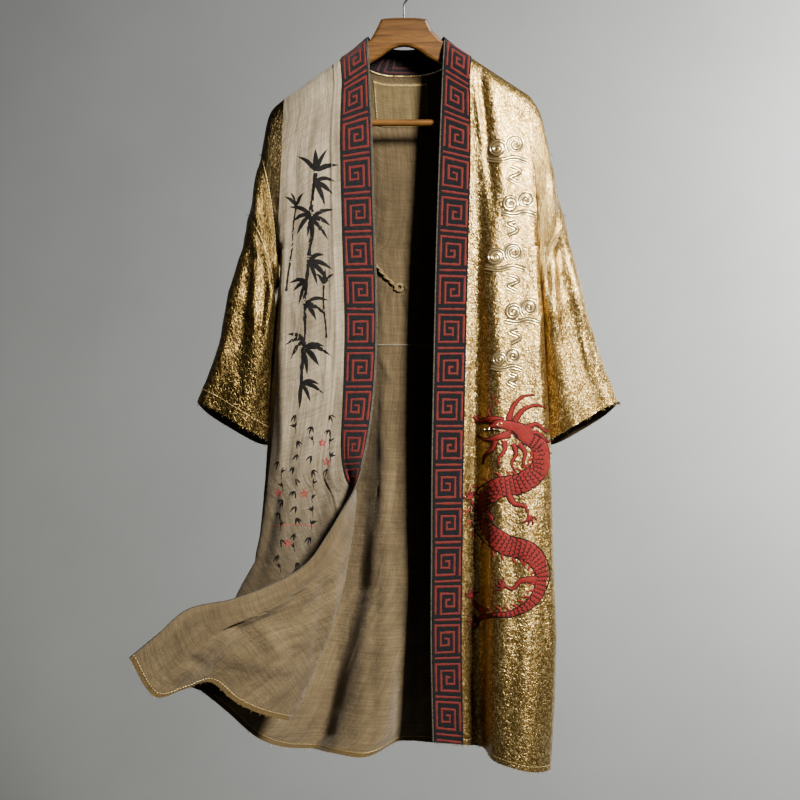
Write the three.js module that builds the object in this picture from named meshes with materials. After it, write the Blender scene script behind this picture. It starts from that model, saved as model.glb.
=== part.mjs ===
// A long open robe on a contoured wooden hanger: two-colour fronts, a patterned front band,
// wide sleeves, and one lower front blown back over itself so that its inside shows.
// Millimetres. +X is the viewer's right, -Y faces the viewer and +Z is up. The origin is the
// inside top of the hook's crook, where a rail bears.
import * as THREE from 'three';

// ---- cloth ----
const CLOTH = 1.6;            // wall of the body and sleeve cloth
const BAND_CLOTH = 1.6;       // wall of the folded front band
const PATCH_CLOTH = 1.0;      // wall of the label patch inside the back
const SEAM = 0.3;             // gap between pieces sewn edge to edge
const SEAM_HALF = 0.25;       // half the gap where front and back meet at shoulder and side
const BAND_WIDTH = 55;
const PIPING = 2;             // strip of front cloth that shows beyond the band
const NECK_COLLAR = 2.0;      // wall of the collar behind the neck

// ---- shoulders: neck point and shoulder tip of each side, as x and z ----
// The left sleeve lies further out than the right one by its reach, at its inner end and from
// the shoulder to the cuff at its outer end.
const RIGHT = { sign: -1, neck: [-63.6, -117.7], tip: [-208, -220], reach: { inner: 0, outer: [0, 0] } };
const LEFT = { sign: 1, neck: [70.3, -117.7], tip: [218, -214.5], reach: { inner: 13, outer: [5, 13] } };
const ROUND_STEPS = [0, 20, 42, 66];    // degrees of that quarter round, above the first section

// ---- armholes and side seams ----
const UNDERARM = -482;
const SEAM_START = 12;        // the side seam is closed from this far above the underarm point
const ARMHOLE_POWER = 4;      // how square the armhole's ends are
const BACK_ARMHOLE_DEPTH = 31;
const ARMHOLE_CLEAR = { seams: 1.3, from: -0.2, full: 0.6 };   // sleeve's start beyond the body
// The turn of a front round its visible side: how far in it starts, and how much it swells.
const SIDE_TURN = { inside: 5, swell: 3, swellPerDepth: 0.14, from: 15, full: 120 };

// ---- hanger ----
const WOOD_TOP = -78;
const WOOD_NECK_HALF = 40;    // half width of the hanger's crest
const WOOD_DEPTH = 16;        // front to back
const WOOD_BEVEL = 5;         // its rounded top and bottom
const WOOD_UNDER_CLOTH = 2.8; // arm's top edge below the middle of the cloth
const BAR_RADIUS = 6;
const BAR_Z = -261;
const WIRE_RADIUS = 1.9;
const CROOK_RADIUS = 20;      // inside radius of the hook
const CROOK = { from: -42, to: 212, steps: 10 };        // degrees round it
const STEM = [[0, WOOD_TOP + SEAM], [0, -66], [0.5, -54], [7, -44]];   // x and z up to the crook
// Corners of the hanger's arm in the front view, from the crest, the neck point and the tip.
const CREST_CORNER = { out: 9, down: 22 };
const CREST_ROUND = { part: 0.7, down: 3 };
const ARM_START = 5;          // how far inside the neck point its slope begins
const ARM_SHORT = 6;          // how far inside the shoulder tip it ends
const ARM_NOSE = { out: 2, down: 14 };
const ARM_SOCKET = { outer: 6, inner: 28, below: 12, above: 10 };      // about the bar
const ARM_UNDER = { inside: 44, down: 32 };
const ARCH = { half: 40, foot: -146, top: -110 };
const BAR_GAP = 0.5;          // between the bar's end and its socket

const COLOURS = {
  linen: 0xb5a78f, lining: 0x8b7857, gold: 0xb59a5c, band: 0x2a2730, patch: 0x94855f,
  wood: 0xa9774a, steel: 0xa8a9ab, cord: 0x9a875f,
};

// ------------------------------------------------------------------ tables

// Side lines: the visible side of each front, down from the shoulder tip.
const RIGHT_SIDE = [
  { z: -220, x: -208, y: -24, seam: 0 },
  { z: -345, x: -212.7, y: -27, seam: 0 },
  { z: -482, x: -219.6, y: -32, seam: 0 },
  { z: -627, x: -227.5, y: -36, seam: 0 },
  { z: -767, x: -235.6, y: -38, seam: 0 },
  { z: -896, x: -243, y: -36, seam: -1 },
  { z: -978, x: -252, y: -32, seam: -2 },
  { z: -1025, x: -260, y: -30, seam: -3 },
  { z: -1077, x: -289, y: -28, seam: -4 },
  { z: -1179, x: -332, y: -26, seam: -6 },
  { z: -1216, x: -357, y: -25, seam: -7 },
  { z: -1236, x: -387, y: -25, seam: -7 },
];
const LEFT_SIDE = [
  { z: -214.5, x: 218, y: -24, seam: 0 },
  { z: -345, x: 224.8, y: -31, seam: 0 },
  { z: -482, x: 232.4, y: -38, seam: 0 },
  { z: -650, x: 240.5, y: -46, seam: 0 },
  { z: -850, x: 252.5, y: -52, seam: 0 },
  { z: -1000, x: 254.6, y: -56, seam: 0 },
  { z: -1150, x: 260, y: -58, seam: 0 },
  { z: -1260, x: 257, y: -58, seam: 0 },
  { z: -1379, x: 250.5, y: -56, seam: 0 },
];
const SEAM_RECESS = 13;       // how far the side seam lies inside the visible side
const RECESS_RUN = 60;        // height under the arm over which it gets there

// Right front, a row for each section: the side's height, the point where the lower front turns
// back on itself (on the flat of the panel higher up), the free front edge, how far the turned
// cloth swells forward, and the width of the band, which puckers where the edge turns over.
const RIGHT_FRONT = [
  { side: -265, turn: [-138, -24, -215], edge: [-61.2, -20, -162.7], roll: 2, band: 55 },
  { side: -345, turn: [-136, -31, -322], edge: [-55.4, -27, -307], roll: 2, band: 55 },
  { side: -470, turn: [-134, -37, -462], edge: [-51.2, -31, -458], roll: 2, band: 55 },
  { side: -610, turn: [-128, -43, -606], edge: [-47.0, -36, -605], roll: 2, band: 55 },
  { side: -735, turn: [-118, -49, -728], edge: [-51.6, -46, -728], roll: 3, band: 52 },
  { side: -820, turn: [-106, -56, -818], edge: [-63.0, -62, -818], roll: 3, band: 44 },
  { side: -872, turn: [-92, -60, -872], edge: [-74.5, -79, -869], roll: 1, band: 35 },
  { side: -905, turn: [-82, -60, -905], edge: [-85, -90, -899], roll: 0, band: 31 },
  { side: -932, turn: [-84, -62, -937], edge: [-103, -97, -929], roll: 3, band: 32 },
  { side: -978, turn: [-89, -64, -978], edge: [-127, -102, -969], roll: 9, band: 36 },
  { side: -1025, turn: [-96, -66, -1024], edge: [-163.5, -107, -1019], roll: 16, band: 42 },
  { side: -1077, turn: [-106, -68, -1073], edge: [-220, -112, -1053], roll: 22, band: 48 },
  { side: -1125, turn: [-120, -70, -1121], edge: [-287, -118, -1078], roll: 27, band: 52 },
  { side: -1179, turn: [-139, -71, -1174], edge: [-360, -122, -1094], roll: 30, band: 54 },
  { side: -1216, turn: [-164, -72, -1228], edge: [-412, -122, -1137], roll: 30, band: 55 },
  { side: -1236, turn: [-194, -72, -1289], edge: [-459, -120, -1176], roll: 28, band: 55 },
];
// Waves of the blown flap: where along turn to edge, how wide, how far down and forward at the hem.
const FLAP_WAVES = [
  { at: 0.78, width: 0.13, down: 44, forward: 20 },
  { at: 0.52, width: 0.15, down: -16, forward: -14 },
  { at: 0.24, width: 0.12, down: 4, forward: 8 },
];
const FLAP_START = 7;         // the row where the turn begins
const LAP_PARTS = [0.82, 0.66, 0.5, 0.34, 0.18];        // places between turn and edge
const TURN_RUN = 14;          // flat cloth kept beyond the turn
const PANEL_SWELL = 3;

// Left front, a row for each section: the side's height, how far the section follows the slope
// of the shoulder, then x and y of the free edge, the hollow beside the band, the crest and
// the broad face.
const LEFT_FRONT = [
  { z: -259.5, slant: 1, edge: [68.0, -20], hollow: [126, -24], crest: [150, -26], face: [188, -27] },
  { z: -345, slant: 0.4, edge: [62.0, -26], hollow: [126, -26], crest: [149, -33], face: [190, -36] },
  { z: -482, slant: 0.1, edge: [56.3, -31], hollow: [124, -30], crest: [149, -41], face: [194, -46] },
  { z: -650, slant: 0, edge: [52.0, -35], hollow: [122, -29], crest: [150, -48], face: [200, -56] },
  { z: -850, slant: 0, edge: [48.1, -38], hollow: [123, -25], crest: [152, -54], face: [205, -64] },
  { z: -1000, slant: 0, edge: [47.2, -38], hollow: [126, -19], crest: [153, -58], face: [208, -71] },
  { z: -1150, slant: 0, edge: [46.4, -36], hollow: [130, -12], crest: [154, -62], face: [210, -79] },
  { z: -1260, slant: 0, edge: [47.9, -32], hollow: [133, -7], crest: [155, -66], face: [210, -85] },
  { z: -1352, slant: 0, edge: [50.0, -28], hollow: [136, -4], crest: [156, -68], face: [208, -88] },
];
const LEFT_HEM = { edge: 18, hollow: 3, crest: -8, face: -21, side: -27 };   // rise over the last z
const EDGE_TO_HOLLOW = 0.6;   // where the run from edge to hollow is held straight
// Columns from the band to the side seam, and sections to each row of the table.
const RIGHT_GRID = { columns: 17, perRow: 2 };
const LEFT_GRID = { columns: 10, perRow: 3 };
const BAND_STRIP = [1, 3];    // the columns under the band

// Back: the height of each side seam, how far the section follows the slope of the shoulders,
// the depth of nine stations between the seams, from the right, and its share of the hem's curve.
const BACK_STATIONS = [0.1, 0.19, 0.26, 0.34, 0.4, 0.5, 0.6, 0.72, 0.86];
const BACK = [
  { right: -265, left: -259.5, slant: 1, depth: [32, 38, 43, 46, 47, 47, 45, 39, 33], hem: 0 },
  { right: -345, left: -345, slant: 0.4, depth: [36, 43, 47, 47, 44, 44, 48, 46, 38], hem: 0 },
  { right: -482, left: -482, slant: 0.1, depth: [38, 48, 56, 54, 46, 46, 55, 52, 42], hem: 0 },
  { right: -647, left: -647, slant: 0, depth: [40, 53, 65, 60, 45, 46, 62, 58, 46], hem: 0 },
  { right: -820, left: -850, slant: 0, depth: [38, 56, 73, 66, 40, 40, 66, 62, 48], hem: 0 },
  { right: -978, left: -1030, slant: 0, depth: [30, 56, 80, 72, 34, 30, 66, 64, 48], hem: 0.25 },
  { right: -1110, left: -1200, slant: 0, depth: [16, 46, 80, 80, 30, 20, 62, 64, 48], hem: 0.6 },
  { right: -1236, left: -1366, slant: 0, depth: [7, 28, 56, 82, 32, 13, 60, 62, 46], hem: 1 },
];
// Height of the hem at those stations, over the straight line between the seams' ends.
const BACK_HEM = [-38, -79, -92, -90, -79, -70, -39, -27, -10];
const WAIST_ROW = 3;          // the back is cut here
const BACK_CORNER = { across: 0.3, depth: 0.62 };       // rounds the back into its side seams
const BACK_COLUMNS = 26;
const BACK_STEPS = 2;         // sections to each row of the table
const COLUMN_SNAP = 9;        // a column this near to the neckline's corner starts at it
const COLUMN_DRAW = 60;       // columns this far inside the corner start nearer to it

// Sleeve rings on the right side, measured outward: outer and inner ends of each ring in the
// front view, how far it bows to the body, and its depth to the front and back of the arm.
const SLEEVE = [
  { outer: [232, -243], inner: [221.6, -494], bow: 3, front: 30, back: 32, lift: 0, drop: 0 },
  { outer: [249.6, -326], inner: [224, -524], bow: 9, front: 32, back: 36, lift: 0, drop: 0 },
  { outer: [273, -432], inner: [229, -572], bow: 14, front: 34, back: 40, lift: 0, drop: 2 },
  { outer: [291, -515], inner: [232, -632], bow: 10, front: 36, back: 40, lift: 0, drop: 5 },
  { outer: [328, -661], inner: [235, -745], bow: 4, front: 34, back: 38, lift: 3, drop: 11 },
  { outer: [360, -748], inner: [236, -819], bow: 0, front: 31, back: 36, lift: 5, drop: 16 },
];
const SLEEVE_SEAMS = [2, 3];  // ring numbers, the armhole being 0
const SLEEVE_SIDES = 20;      // points round a sleeve
const SLEEVE_STEPS = 2;       // rows of the grid to each ring
const SLEEVE_POWER = 3;       // how square its rings are
// Long soft folds of a sleeve: angle round it from the outer end, reach along it and depth.
const SLEEVE_FOLDS = [
  { angle: 62, width: 17, from: 0.35, to: 1.2, out: 6 },
  { angle: 108, width: 16, from: 0.45, to: 1.2, out: -5 },
  { angle: 250, width: 20, from: 0.4, to: 1.2, out: 5 },
  { angle: 300, width: 18, from: 0.3, to: 1.2, out: -5 },
];
const FOLD_ENDS = { rise: 0.25, fall: 0.2 };            // share of the sleeve over which they fade

// Collar behind the neck: half depths and heights of its seam and free edge, the depth at which
// the neckline starts to drop, and the collar's gap from the back.
const COLLAR = {
  seamDepth: 41, edgeDepth: 38, dropDepth: 14, seamZ: -171, edgeZ: -125.6, crown: 12, gap: 1.0,
};

// Inside of the back: the rows and columns of its grid under the patch, the knot's place on that
// grid, and how many rows and columns the cord runs up from it.
const NECK_PATCH = { rows: [2, 5], columns: [10, 15] };
const TIE = {
  row: 8.83, column: 12.3, rows: 0.45, columns: 2.8, start: 0.24, radius: 2.4, clear: 0.6,
};
const KNOT = { radius: 7, clear: 0.2 };

// ------------------------------------------------------------------ small tools

const { clamp, degToRad, lerp, smoothstep } = THREE.MathUtils;
const vector = (x, y, z) => new THREE.Vector3(x, y, z);
const between = (a, b, t) => a.clone().lerp(b, t);
const bump = (x, centre, width) => Math.exp(-(((x - centre) / width) ** 2));

function catmull(a, b, c, d, t) {
  const slopeB = (c - a) / 2;
  const slopeC = (d - b) / 2;
  const t2 = t * t;
  const t3 = t2 * t;
  return (2 * t3 - 3 * t2 + 1) * b + (t3 - 2 * t2 + t) * slopeB
    + (3 * t2 - 2 * t3) * c + (t3 - t2) * slopeC;
}

// A row part of the way between two rows of a table, with every column run on a smooth curve.
function rowAt(table, position) {
  const last = table.length - 1;
  const first = clamp(Math.floor(position), 0, last - 1);
  const part = position - first;
  const near = [-1, 0, 1, 2].map((step) => table[clamp(first + step, 0, last)]);
  const mix = (values) => (Array.isArray(values[0])
    ? values[0].map((_, k) => mix(values.map((value) => value[k])))
    : catmull(...values, part));
  return Object.fromEntries(Object.keys(table[0]).map((key) => [key, mix(near.map((row) => row[key]))]));
}

// A row of a table at height z, with straight runs between rows.
function rowAtHeight(table, z) {
  const last = table.length - 1;
  let k = 0;
  while (k < last - 1 && table[k + 1].z > z) k += 1;
  const part = clamp((table[k].z - z) / (table[k].z - table[k + 1].z), 0, 1);
  const row = {};
  for (const key of Object.keys(table[0])) row[key] = lerp(table[k][key], table[k + 1][key], part);
  return row;
}

// Points of a smooth curve at the given distances from its start.
function alongCurve(points, distances) {
  const curve = new THREE.CatmullRomCurve3(points, false, 'centripetal');
  curve.arcLengthDivisions = 160;
  const length = curve.getLength();
  return distances(length).map((distance) => curve.getPointAt(clamp(distance / length, 0, 1)));
}

const evenly = (count) => (length) => Array.from({ length: count + 1 }, (_, k) => (length * k) / count);

// From the free edge: piping, band, then even steps to the side seam.
const fromEdge = (steps, width) => (length) => [
  0, PIPING, width / 2, width,
  ...Array.from({ length: steps }, (_, k) => lerp(width, length, (k + 1) / steps)),
];

// ------------------------------------------------------------------ cloth surfaces

const NEARLY_FLAT = 0.8;      // a normal this far towards Y belongs to the flat of the cloth

// A surface is a grid of points with a normal at each. Parts of it share those normals, so
// pieces cut from one surface keep parallel faces.
// A row in flatEnds ends in a plane across Y where it lies over the shoulder, and a column in
// flatSides does so along a side seam, so that the pieces meet there face to face.
function surface(points, { wrap = false, flatEnds = [], flatSides = [] } = {}) {
  const rows = points.length;
  const columns = points[0].length;
  const column = (k) => (wrap ? (k + columns) % columns : clamp(k, 0, columns - 1));
  const normals = points.map((row, i) => row.map((_, j) => {
    const down = points[Math.min(i + 1, rows - 1)][j].clone().sub(points[Math.max(i - 1, 0)][j]);
    const along = row[column(j + 1)].clone().sub(row[column(j - 1)]);
    const normal = along.cross(down);
    normal.normalize();
    const overShoulder = flatEnds.includes(i) && Math.abs(normal.y) < NEARLY_FLAT;
    const sideSeam = flatSides.includes(j) && row[j].z < UNDERARM + SEAM_START;
    if (overShoulder || sideSeam) normal.y = 0;
    return normal.normalize();
  }));
  return { points, normals, wrap };
}

function cut(sheet, rows, columns = [0, sheet.points[0].length - 1]) {
  const part = (grid) => grid.slice(rows[0], rows[1] + 1)
    .map((row) => row.slice(columns[0], columns[1] + 1).map((item) => item.clone()));
  return { points: part(sheet.points), normals: part(sheet.normals), wrap: sheet.wrap };
}

function moved(sheet, distance) {
  const points = sheet.points.map((row, i) => row.map((point, j) => (
    point.clone().addScaledVector(sheet.normals[i][j], distance))));
  return { ...sheet, points };
}

// Draws the first or last row back from a seam by half the gap.
function trimmed(sheet, end) {
  const { points } = sheet;
  const [edge, next] = end === 'first' ? [0, 1] : [points.length - 1, points.length - 2];
  points[edge].forEach((point, j) => {
    const inward = points[next][j].clone().sub(point).normalize();
    point.addScaledVector(inward, SEAM / 2);
  });
  return sheet;
}

// A closed wall of even thickness about a surface.
function wall(sheet, thickness) {
  const { points, normals, wrap } = sheet;
  const rows = points.length;
  const columns = points[0].length;
  const spans = wrap ? columns : columns - 1;
  const positions = [];
  for (const side of [0.5, -0.5]) {
    points.forEach((row, i) => row.forEach((point, j) => {
      positions.push(...point.clone().addScaledVector(normals[i][j], side * thickness).toArray());
    }));
  }
  const index = [];
  const at = (layer, i, j) => (layer * rows + i) * columns + (j % columns);
  const quad = (a, b, c, d) => index.push(a, b, c, a, c, d);
  for (let i = 0; i < rows - 1; i += 1) {
    for (let j = 0; j < spans; j += 1) {
      quad(at(0, i, j), at(0, i, j + 1), at(0, i + 1, j + 1), at(0, i + 1, j));
      index.push(at(1, i, j), at(1, i + 1, j + 1), at(1, i, j + 1));
      index.push(at(1, i, j), at(1, i + 1, j), at(1, i + 1, j + 1));
    }
  }
  for (let j = 0; j < spans; j += 1) {
    quad(at(0, 0, j), at(1, 0, j), at(1, 0, j + 1), at(0, 0, j + 1));
    quad(at(0, rows - 1, j), at(0, rows - 1, j + 1), at(1, rows - 1, j + 1), at(1, rows - 1, j));
  }
  if (!wrap) {
    for (let i = 0; i < rows - 1; i += 1) {
      quad(at(0, i, 0), at(0, i + 1, 0), at(1, i + 1, 0), at(1, i, 0));
      quad(at(0, i, spans), at(1, i, spans), at(1, i + 1, spans), at(0, i + 1, spans));
    }
  }
  const geometry = new THREE.BufferGeometry();
  geometry.setAttribute('position', new THREE.Float32BufferAttribute(positions, 3));
  geometry.setIndex(index);
  return facingOut(geometry);
}

function facingOut(geometry) {
  const position = geometry.getAttribute('position');
  const { array } = geometry.getIndex();
  const corner = (k) => new THREE.Vector3().fromBufferAttribute(position, array[k]);
  let volume = 0;
  for (let k = 0; k < array.length; k += 3) {
    volume += corner(k).dot(corner(k + 1).cross(corner(k + 2)));
  }
  if (volume < 0) {
    for (let k = 0; k < array.length; k += 3) {
      [array[k], array[k + 1]] = [array[k + 1], array[k]];
    }
  }
  return geometry;
}

// ------------------------------------------------------------------ shoulders and side seams

const shoulderZ = (side, x) => lerp(side.neck[1], side.tip[1], (x - side.neck[0]) / (side.tip[0] - side.neck[0]));

// 1 over most of the armhole's height, and 0 at the shoulder tip and under the arm.
function armholeOpening(side, z) {
  const half = (side.tip[1] - UNDERARM) / 2;
  const place = clamp((z - (side.tip[1] + UNDERARM) / 2) / half, -1, 1);
  return z < UNDERARM ? 0 : Math.sqrt(1 - Math.abs(place) ** ARMHOLE_POWER);
}

// The edge of a front (face -1) or the back (face 1) along the armhole and the side seam.
function seamPoint(side, table, z, face) {
  const row = rowAtHeight(table, z);
  const recess = SEAM_RECESS * smoothstep(UNDERARM - z, 0, RECESS_RUN);
  const reach = face < 0 ? row.y : BACK_ARMHOLE_DEPTH;
  const y = row.seam + reach * armholeOpening(side, z) + face * SEAM_HALF;
  return vector(row.x - side.sign * recess, y, z);
}

// The quarter round that a piece makes over the hanger's arm, between its top edge and its
// first full section.
function roundOver(top, first) {
  return ROUND_STEPS.map((degrees) => {
    const turn = degToRad(degrees);
    return top.map((point, j) => vector(
      lerp(point.x, first[j].x, 1 - Math.cos(turn)),
      lerp(point.y, first[j].y, Math.sin(turn)),
      lerp(point.z, first[j].z, 1 - Math.cos(turn)),
    ));
  });
}

function shoulderEdge(side, y, distances) {
  const start = vector(side.neck[0], y, side.neck[1]);
  const end = vector(side.tip[0], y, side.tip[1]);
  const length = start.distanceTo(end);
  return distances(length).map((distance) => between(start, end, distance / length));
}

// The stretch of a front from its face to the side seam, round the visible side.
function sideWrap(side, table, z) {
  const row = rowAtHeight(table, z);
  const seam = seamPoint(side, table, z, -1);
  const fold = vector(row.x - side.sign * SIDE_TURN.inside, row.y, z);
  const swell = SIDE_TURN.swell + SIDE_TURN.swellPerDepth * Math.abs(seam.y - row.y);
  const turn = between(fold, seam, 0.5);
  turn.x += side.sign * swell * smoothstep(UNDERARM - z, SIDE_TURN.from, SIDE_TURN.full);
  return [fold, turn, seam];
}

// ------------------------------------------------------------------ fronts

function rightFrontSection(position) {
  const row = rowAt(RIGHT_FRONT, position);
  const edge = vector(...row.edge);
  const turn = vector(...row.turn);
  const blown = clamp((position - FLAP_START) / (RIGHT_FRONT.length - 1 - FLAP_START), 0, 1);
  const lap = LAP_PARTS.map((part) => {
    const point = between(turn, edge, part);
    point.y -= row.roll * 4 * part * (1 - part);
    for (const wave of FLAP_WAVES) {
      const size = bump(part, wave.at, wave.width) * blown ** 2;
      point.z -= wave.down * size;
      point.y -= wave.forward * size;
    }
    return point;
  });
  const side = sideWrap(RIGHT, RIGHT_SIDE, row.side);
  const flat = between(turn, side[0], 0.5);
  flat.y -= PANEL_SWELL;
  const near = between(turn, flat, TURN_RUN / turn.distanceTo(flat));
  return [edge, ...lap, turn, near, flat, ...side];
}

function leftFrontSection(position) {
  const row = rowAt(LEFT_FRONT, position);
  const hem = smoothstep(position, LEFT_FRONT.length - 3, LEFT_FRONT.length - 1);
  const place = (name) => {
    const [x, y] = row[name];
    const slope = row.slant * (shoulderZ(LEFT, x) - LEFT.tip[1]);
    return vector(x, y, row.z + slope + LEFT_HEM[name] * hem);
  };
  const side = sideWrap(LEFT, LEFT_SIDE, row.z + LEFT_HEM.side * hem);
  const held = between(place('edge'), place('hollow'), EDGE_TO_HOLLOW);
  return [place('edge'), held, place('hollow'), place('crest'), place('face'), ...side];
}

function frontSurface(side, section, table, { columns, perRow }) {
  const rows = (table.length - 1) * perRow;
  const sections = Array.from({ length: rows + 1 }, (_, k) => {
    const { band: width = BAND_WIDTH } = rowAt(table, k / perRow);
    return alongCurve(section(k / perRow), fromEdge(columns, width));
  });
  const top = shoulderEdge(side, -SEAM_HALF, fromEdge(columns, BAND_WIDTH));
  return surface([...roundOver(top, sections[0]), ...sections], { flatEnds: [0], flatSides: [columns + BAND_STRIP[1]] });
}

// The band lies on the outside of the front, from the piping to its own width.
function band(front, outward) {
  const strip = cut(front, [0, front.points.length - 1], BAND_STRIP);
  return wall(moved(strip, outward * (CLOTH / 2 + SEAM + BAND_CLOTH / 2)), BAND_CLOTH);
}

// ------------------------------------------------------------------ back and collar

const neckSide = (x) => (x < 0 ? RIGHT : LEFT);
// Half width of the neckline at the shoulder, where the band's outer edge crosses it.
function necklineHalf(side) {
  const slope = (side.tip[1] - side.neck[1]) / (side.tip[0] - side.neck[0]);
  return Math.abs(side.neck[0]) + BAND_WIDTH / Math.hypot(1, slope);
}

// Top edge of the back: along each shoulder, and down and round behind the neck.
function backTop(x) {
  const side = neckSide(x);
  const place = Math.abs(x) / necklineHalf(side);
  const y = SEAM_HALF;
  if (place >= 1) return vector(x, y, shoulderZ(side, x));
  const depth = COLLAR.seamDepth * Math.sqrt(1 - place ** 2);
  const drop = smoothstep(depth, COLLAR.dropDepth, COLLAR.seamDepth);
  return vector(x, y + depth, lerp(shoulderZ(side, x), COLLAR.seamZ, drop));
}

function backSection(position) {
  const row = rowAt(BACK, position);
  const ends = [seamPoint(RIGHT, RIGHT_SIDE, row.right, 1), seamPoint(LEFT, LEFT_SIDE, row.left, 1)];
  const middle = BACK_STATIONS.map((part, k) => {
    const x = lerp(ends[0].x, ends[1].x, part);
    const slope = row.slant * (backTop(x).z - lerp(RIGHT.tip[1], LEFT.tip[1], part));
    return vector(x, row.depth[k], lerp(ends[0].z, ends[1].z, part) + slope + BACK_HEM[k] * row.hem);
  });
  const corner = (end, next) => {
    const point = between(end, next, BACK_CORNER.across);
    point.y = lerp(end.y, next.y, BACK_CORNER.depth);
    return point;
  };
  return [ends[0], corner(ends[0], middle[0]), ...middle, corner(ends[1], middle.at(-1)), ends[1]];
}

function drawnToCorner(place, corner) {
  const inside = corner - place;
  if (Math.abs(inside) < COLUMN_SNAP) return corner;
  return inside > 0 && inside < COLUMN_DRAW ? corner - inside ** 2 / COLUMN_DRAW : place;
}

function backSurface() {
  const rows = (BACK.length - 1) * BACK_STEPS;
  const sections = Array.from({ length: rows + 1 }, (_, k) => (
    alongCurve(backSection(k / BACK_STEPS), evenly(BACK_COLUMNS))));
  const top = sections[0].map((point, j) => {
    if (j === 0) return vector(RIGHT.tip[0], SEAM_HALF, RIGHT.tip[1]);
    if (j === BACK_COLUMNS) return vector(LEFT.tip[0], SEAM_HALF, LEFT.tip[1]);
    return backTop(Math.sign(point.x) * drawnToCorner(Math.abs(point.x), necklineHalf(neckSide(point.x))));
  });
  return surface([...roundOver(top, sections[0]), ...sections], { flatEnds: [0], flatSides: [0, BACK_COLUMNS] });
}

// The collar stands on the back's neckline, and its columns start at the back's own.
function collarSurface(back) {
  const seam = back.points[0].filter((point) => (
    Math.abs(point.x) < necklineHalf(neckSide(point.x)) + 0.1));
  const last = seam.length - 1;
  return surface(seam.map((point, k) => {
    const side = neckSide(point.x);
    const across = clamp(Math.abs(point.x) / necklineHalf(side), 0, 1);
    const depth = Math.sqrt(1 - across ** 2);
    const crown = COLLAR.crown * Math.sin(Math.PI * clamp(depth * 2, 0, 1)) * (1 - depth);
    const edge = vector(
      side.neck[0] * across,
      SEAM_HALF + COLLAR.edgeDepth * depth,
      lerp(side.neck[1], COLLAR.edgeZ, depth ** 2) + crown,
    );
    const inward = edge.clone().sub(point);
    if (k > 0 && k < last) {
      const along = seam[k + 1].clone().sub(seam[k - 1]).normalize();
      inward.addScaledVector(along, -inward.dot(along));
    }
    const lower = point.clone().addScaledVector(inward.normalize(), COLLAR.gap);
    return [lower, between(lower, edge, 0.5), edge];
  }), { flatEnds: [0, last] });
}

// ------------------------------------------------------------------ sleeves

// Rings run from the outer end round the front of the arm, the underarm and the back.
function ringShape(angle, power) {
  const across = Math.cos(degToRad(angle));
  const depth = Math.sqrt(Math.max(0, 1 - Math.abs(across) ** power));
  return { across, depth: angle <= 180 ? -depth : depth };
}

function armholeRing(side, table, angle) {
  const { across } = ringShape(angle, ARMHOLE_POWER);
  const z = lerp(UNDERARM, side.tip[1], (across + 1) / 2);
  const point = seamPoint(side, table, z, angle <= 180 ? -1 : 1);
  const low = smoothstep(-across, ARMHOLE_CLEAR.from, ARMHOLE_CLEAR.full);
  point.x += side.sign * (ARMHOLE_CLEAR.seams * SEAM + low * CLOTH);
  return point;
}

function sleeveRing(side, row, angle, part) {
  const { across, depth } = ringShape(angle, SLEEVE_POWER);
  const outer = vector(row.outer[0] + lerp(...side.reach.outer, part), 0, row.outer[1]);
  const inner = vector(row.inner[0] + side.reach.inner, 0, row.inner[1]);
  const point = between(inner, outer, (across + 1) / 2);
  point.x = side.sign * (point.x - row.bow * (1 - across ** 2));
  point.y = depth * (depth < 0 ? row.front : row.back);
  point.z += depth < 0 ? -row.lift * depth : -row.drop * depth;
  return point;
}

function sleeveSurface(side, table) {
  const angles = Array.from({ length: SLEEVE_SIDES }, (_, k) => (360 * k) / SLEEVE_SIDES);
  const columns = angles.map((angle) => {
    const rings = SLEEVE.map((row, k) => sleeveRing(side, row, angle, k / (SLEEVE.length - 1)));
    return new THREE.CatmullRomCurve3([armholeRing(side, table, angle), ...rings], false, 'centripetal');
  });
  const rows = SLEEVE.length * SLEEVE_STEPS;
  const plain = Array.from({ length: rows + 1 }, (_, i) => columns.map((curve) => curve.getPoint(i / rows)));
  const { normals } = surface(plain, { wrap: true });
  return surface(plain.map((row, i) => row.map((point, j) => (
    point.clone().addScaledVector(normals[i][j], -side.sign * foldDepth(angles[j], i / rows))
  ))), { wrap: true });
}

function foldDepth(angle, part) {
  let depth = 0;
  for (const fold of SLEEVE_FOLDS) {
    const risen = smoothstep(part, fold.from, fold.from + FOLD_ENDS.rise);
    const fallen = smoothstep(part, fold.to - FOLD_ENDS.fall, fold.to);
    depth += fold.out * bump(angle, fold.angle, fold.width) * risen * (1 - fallen);
  }
  return depth;
}

// Cap, upper and lower piece of a sleeve, cut from one surface at its two seams.
function sleevePieces(side, table) {
  const sleeve = sleeveSurface(side, table);
  const cuts = [0, ...SLEEVE_SEAMS.map((ring) => ring * SLEEVE_STEPS), sleeve.points.length - 1];
  return ['cap', 'upper', 'lower'].map((name, k) => {
    const piece = cut(sleeve, [cuts[k], cuts[k + 1]]);
    if (k > 0) trimmed(piece, 'first');
    if (k < 2) trimmed(piece, 'last');
    return { name, geometry: wall(piece, CLOTH) };
  });
}

// ------------------------------------------------------------------ inside of the back

// A point on the inside of the back, at part rows and columns of its grid.
function insideBack(back, row, column, lift) {
  const i = Math.floor(row);
  const j = Math.floor(column);
  const mix = (grid) => between(
    between(grid[i][j], grid[i][j + 1], column - j),
    between(grid[i + 1][j], grid[i + 1][j + 1], column - j),
    row - i,
  );
  const inward = mix(back.normals).normalize();
  if (inward.y > 0) inward.negate();
  return mix(back.points).addScaledVector(inward, CLOTH / 2 + SEAM + lift);
}

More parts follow.
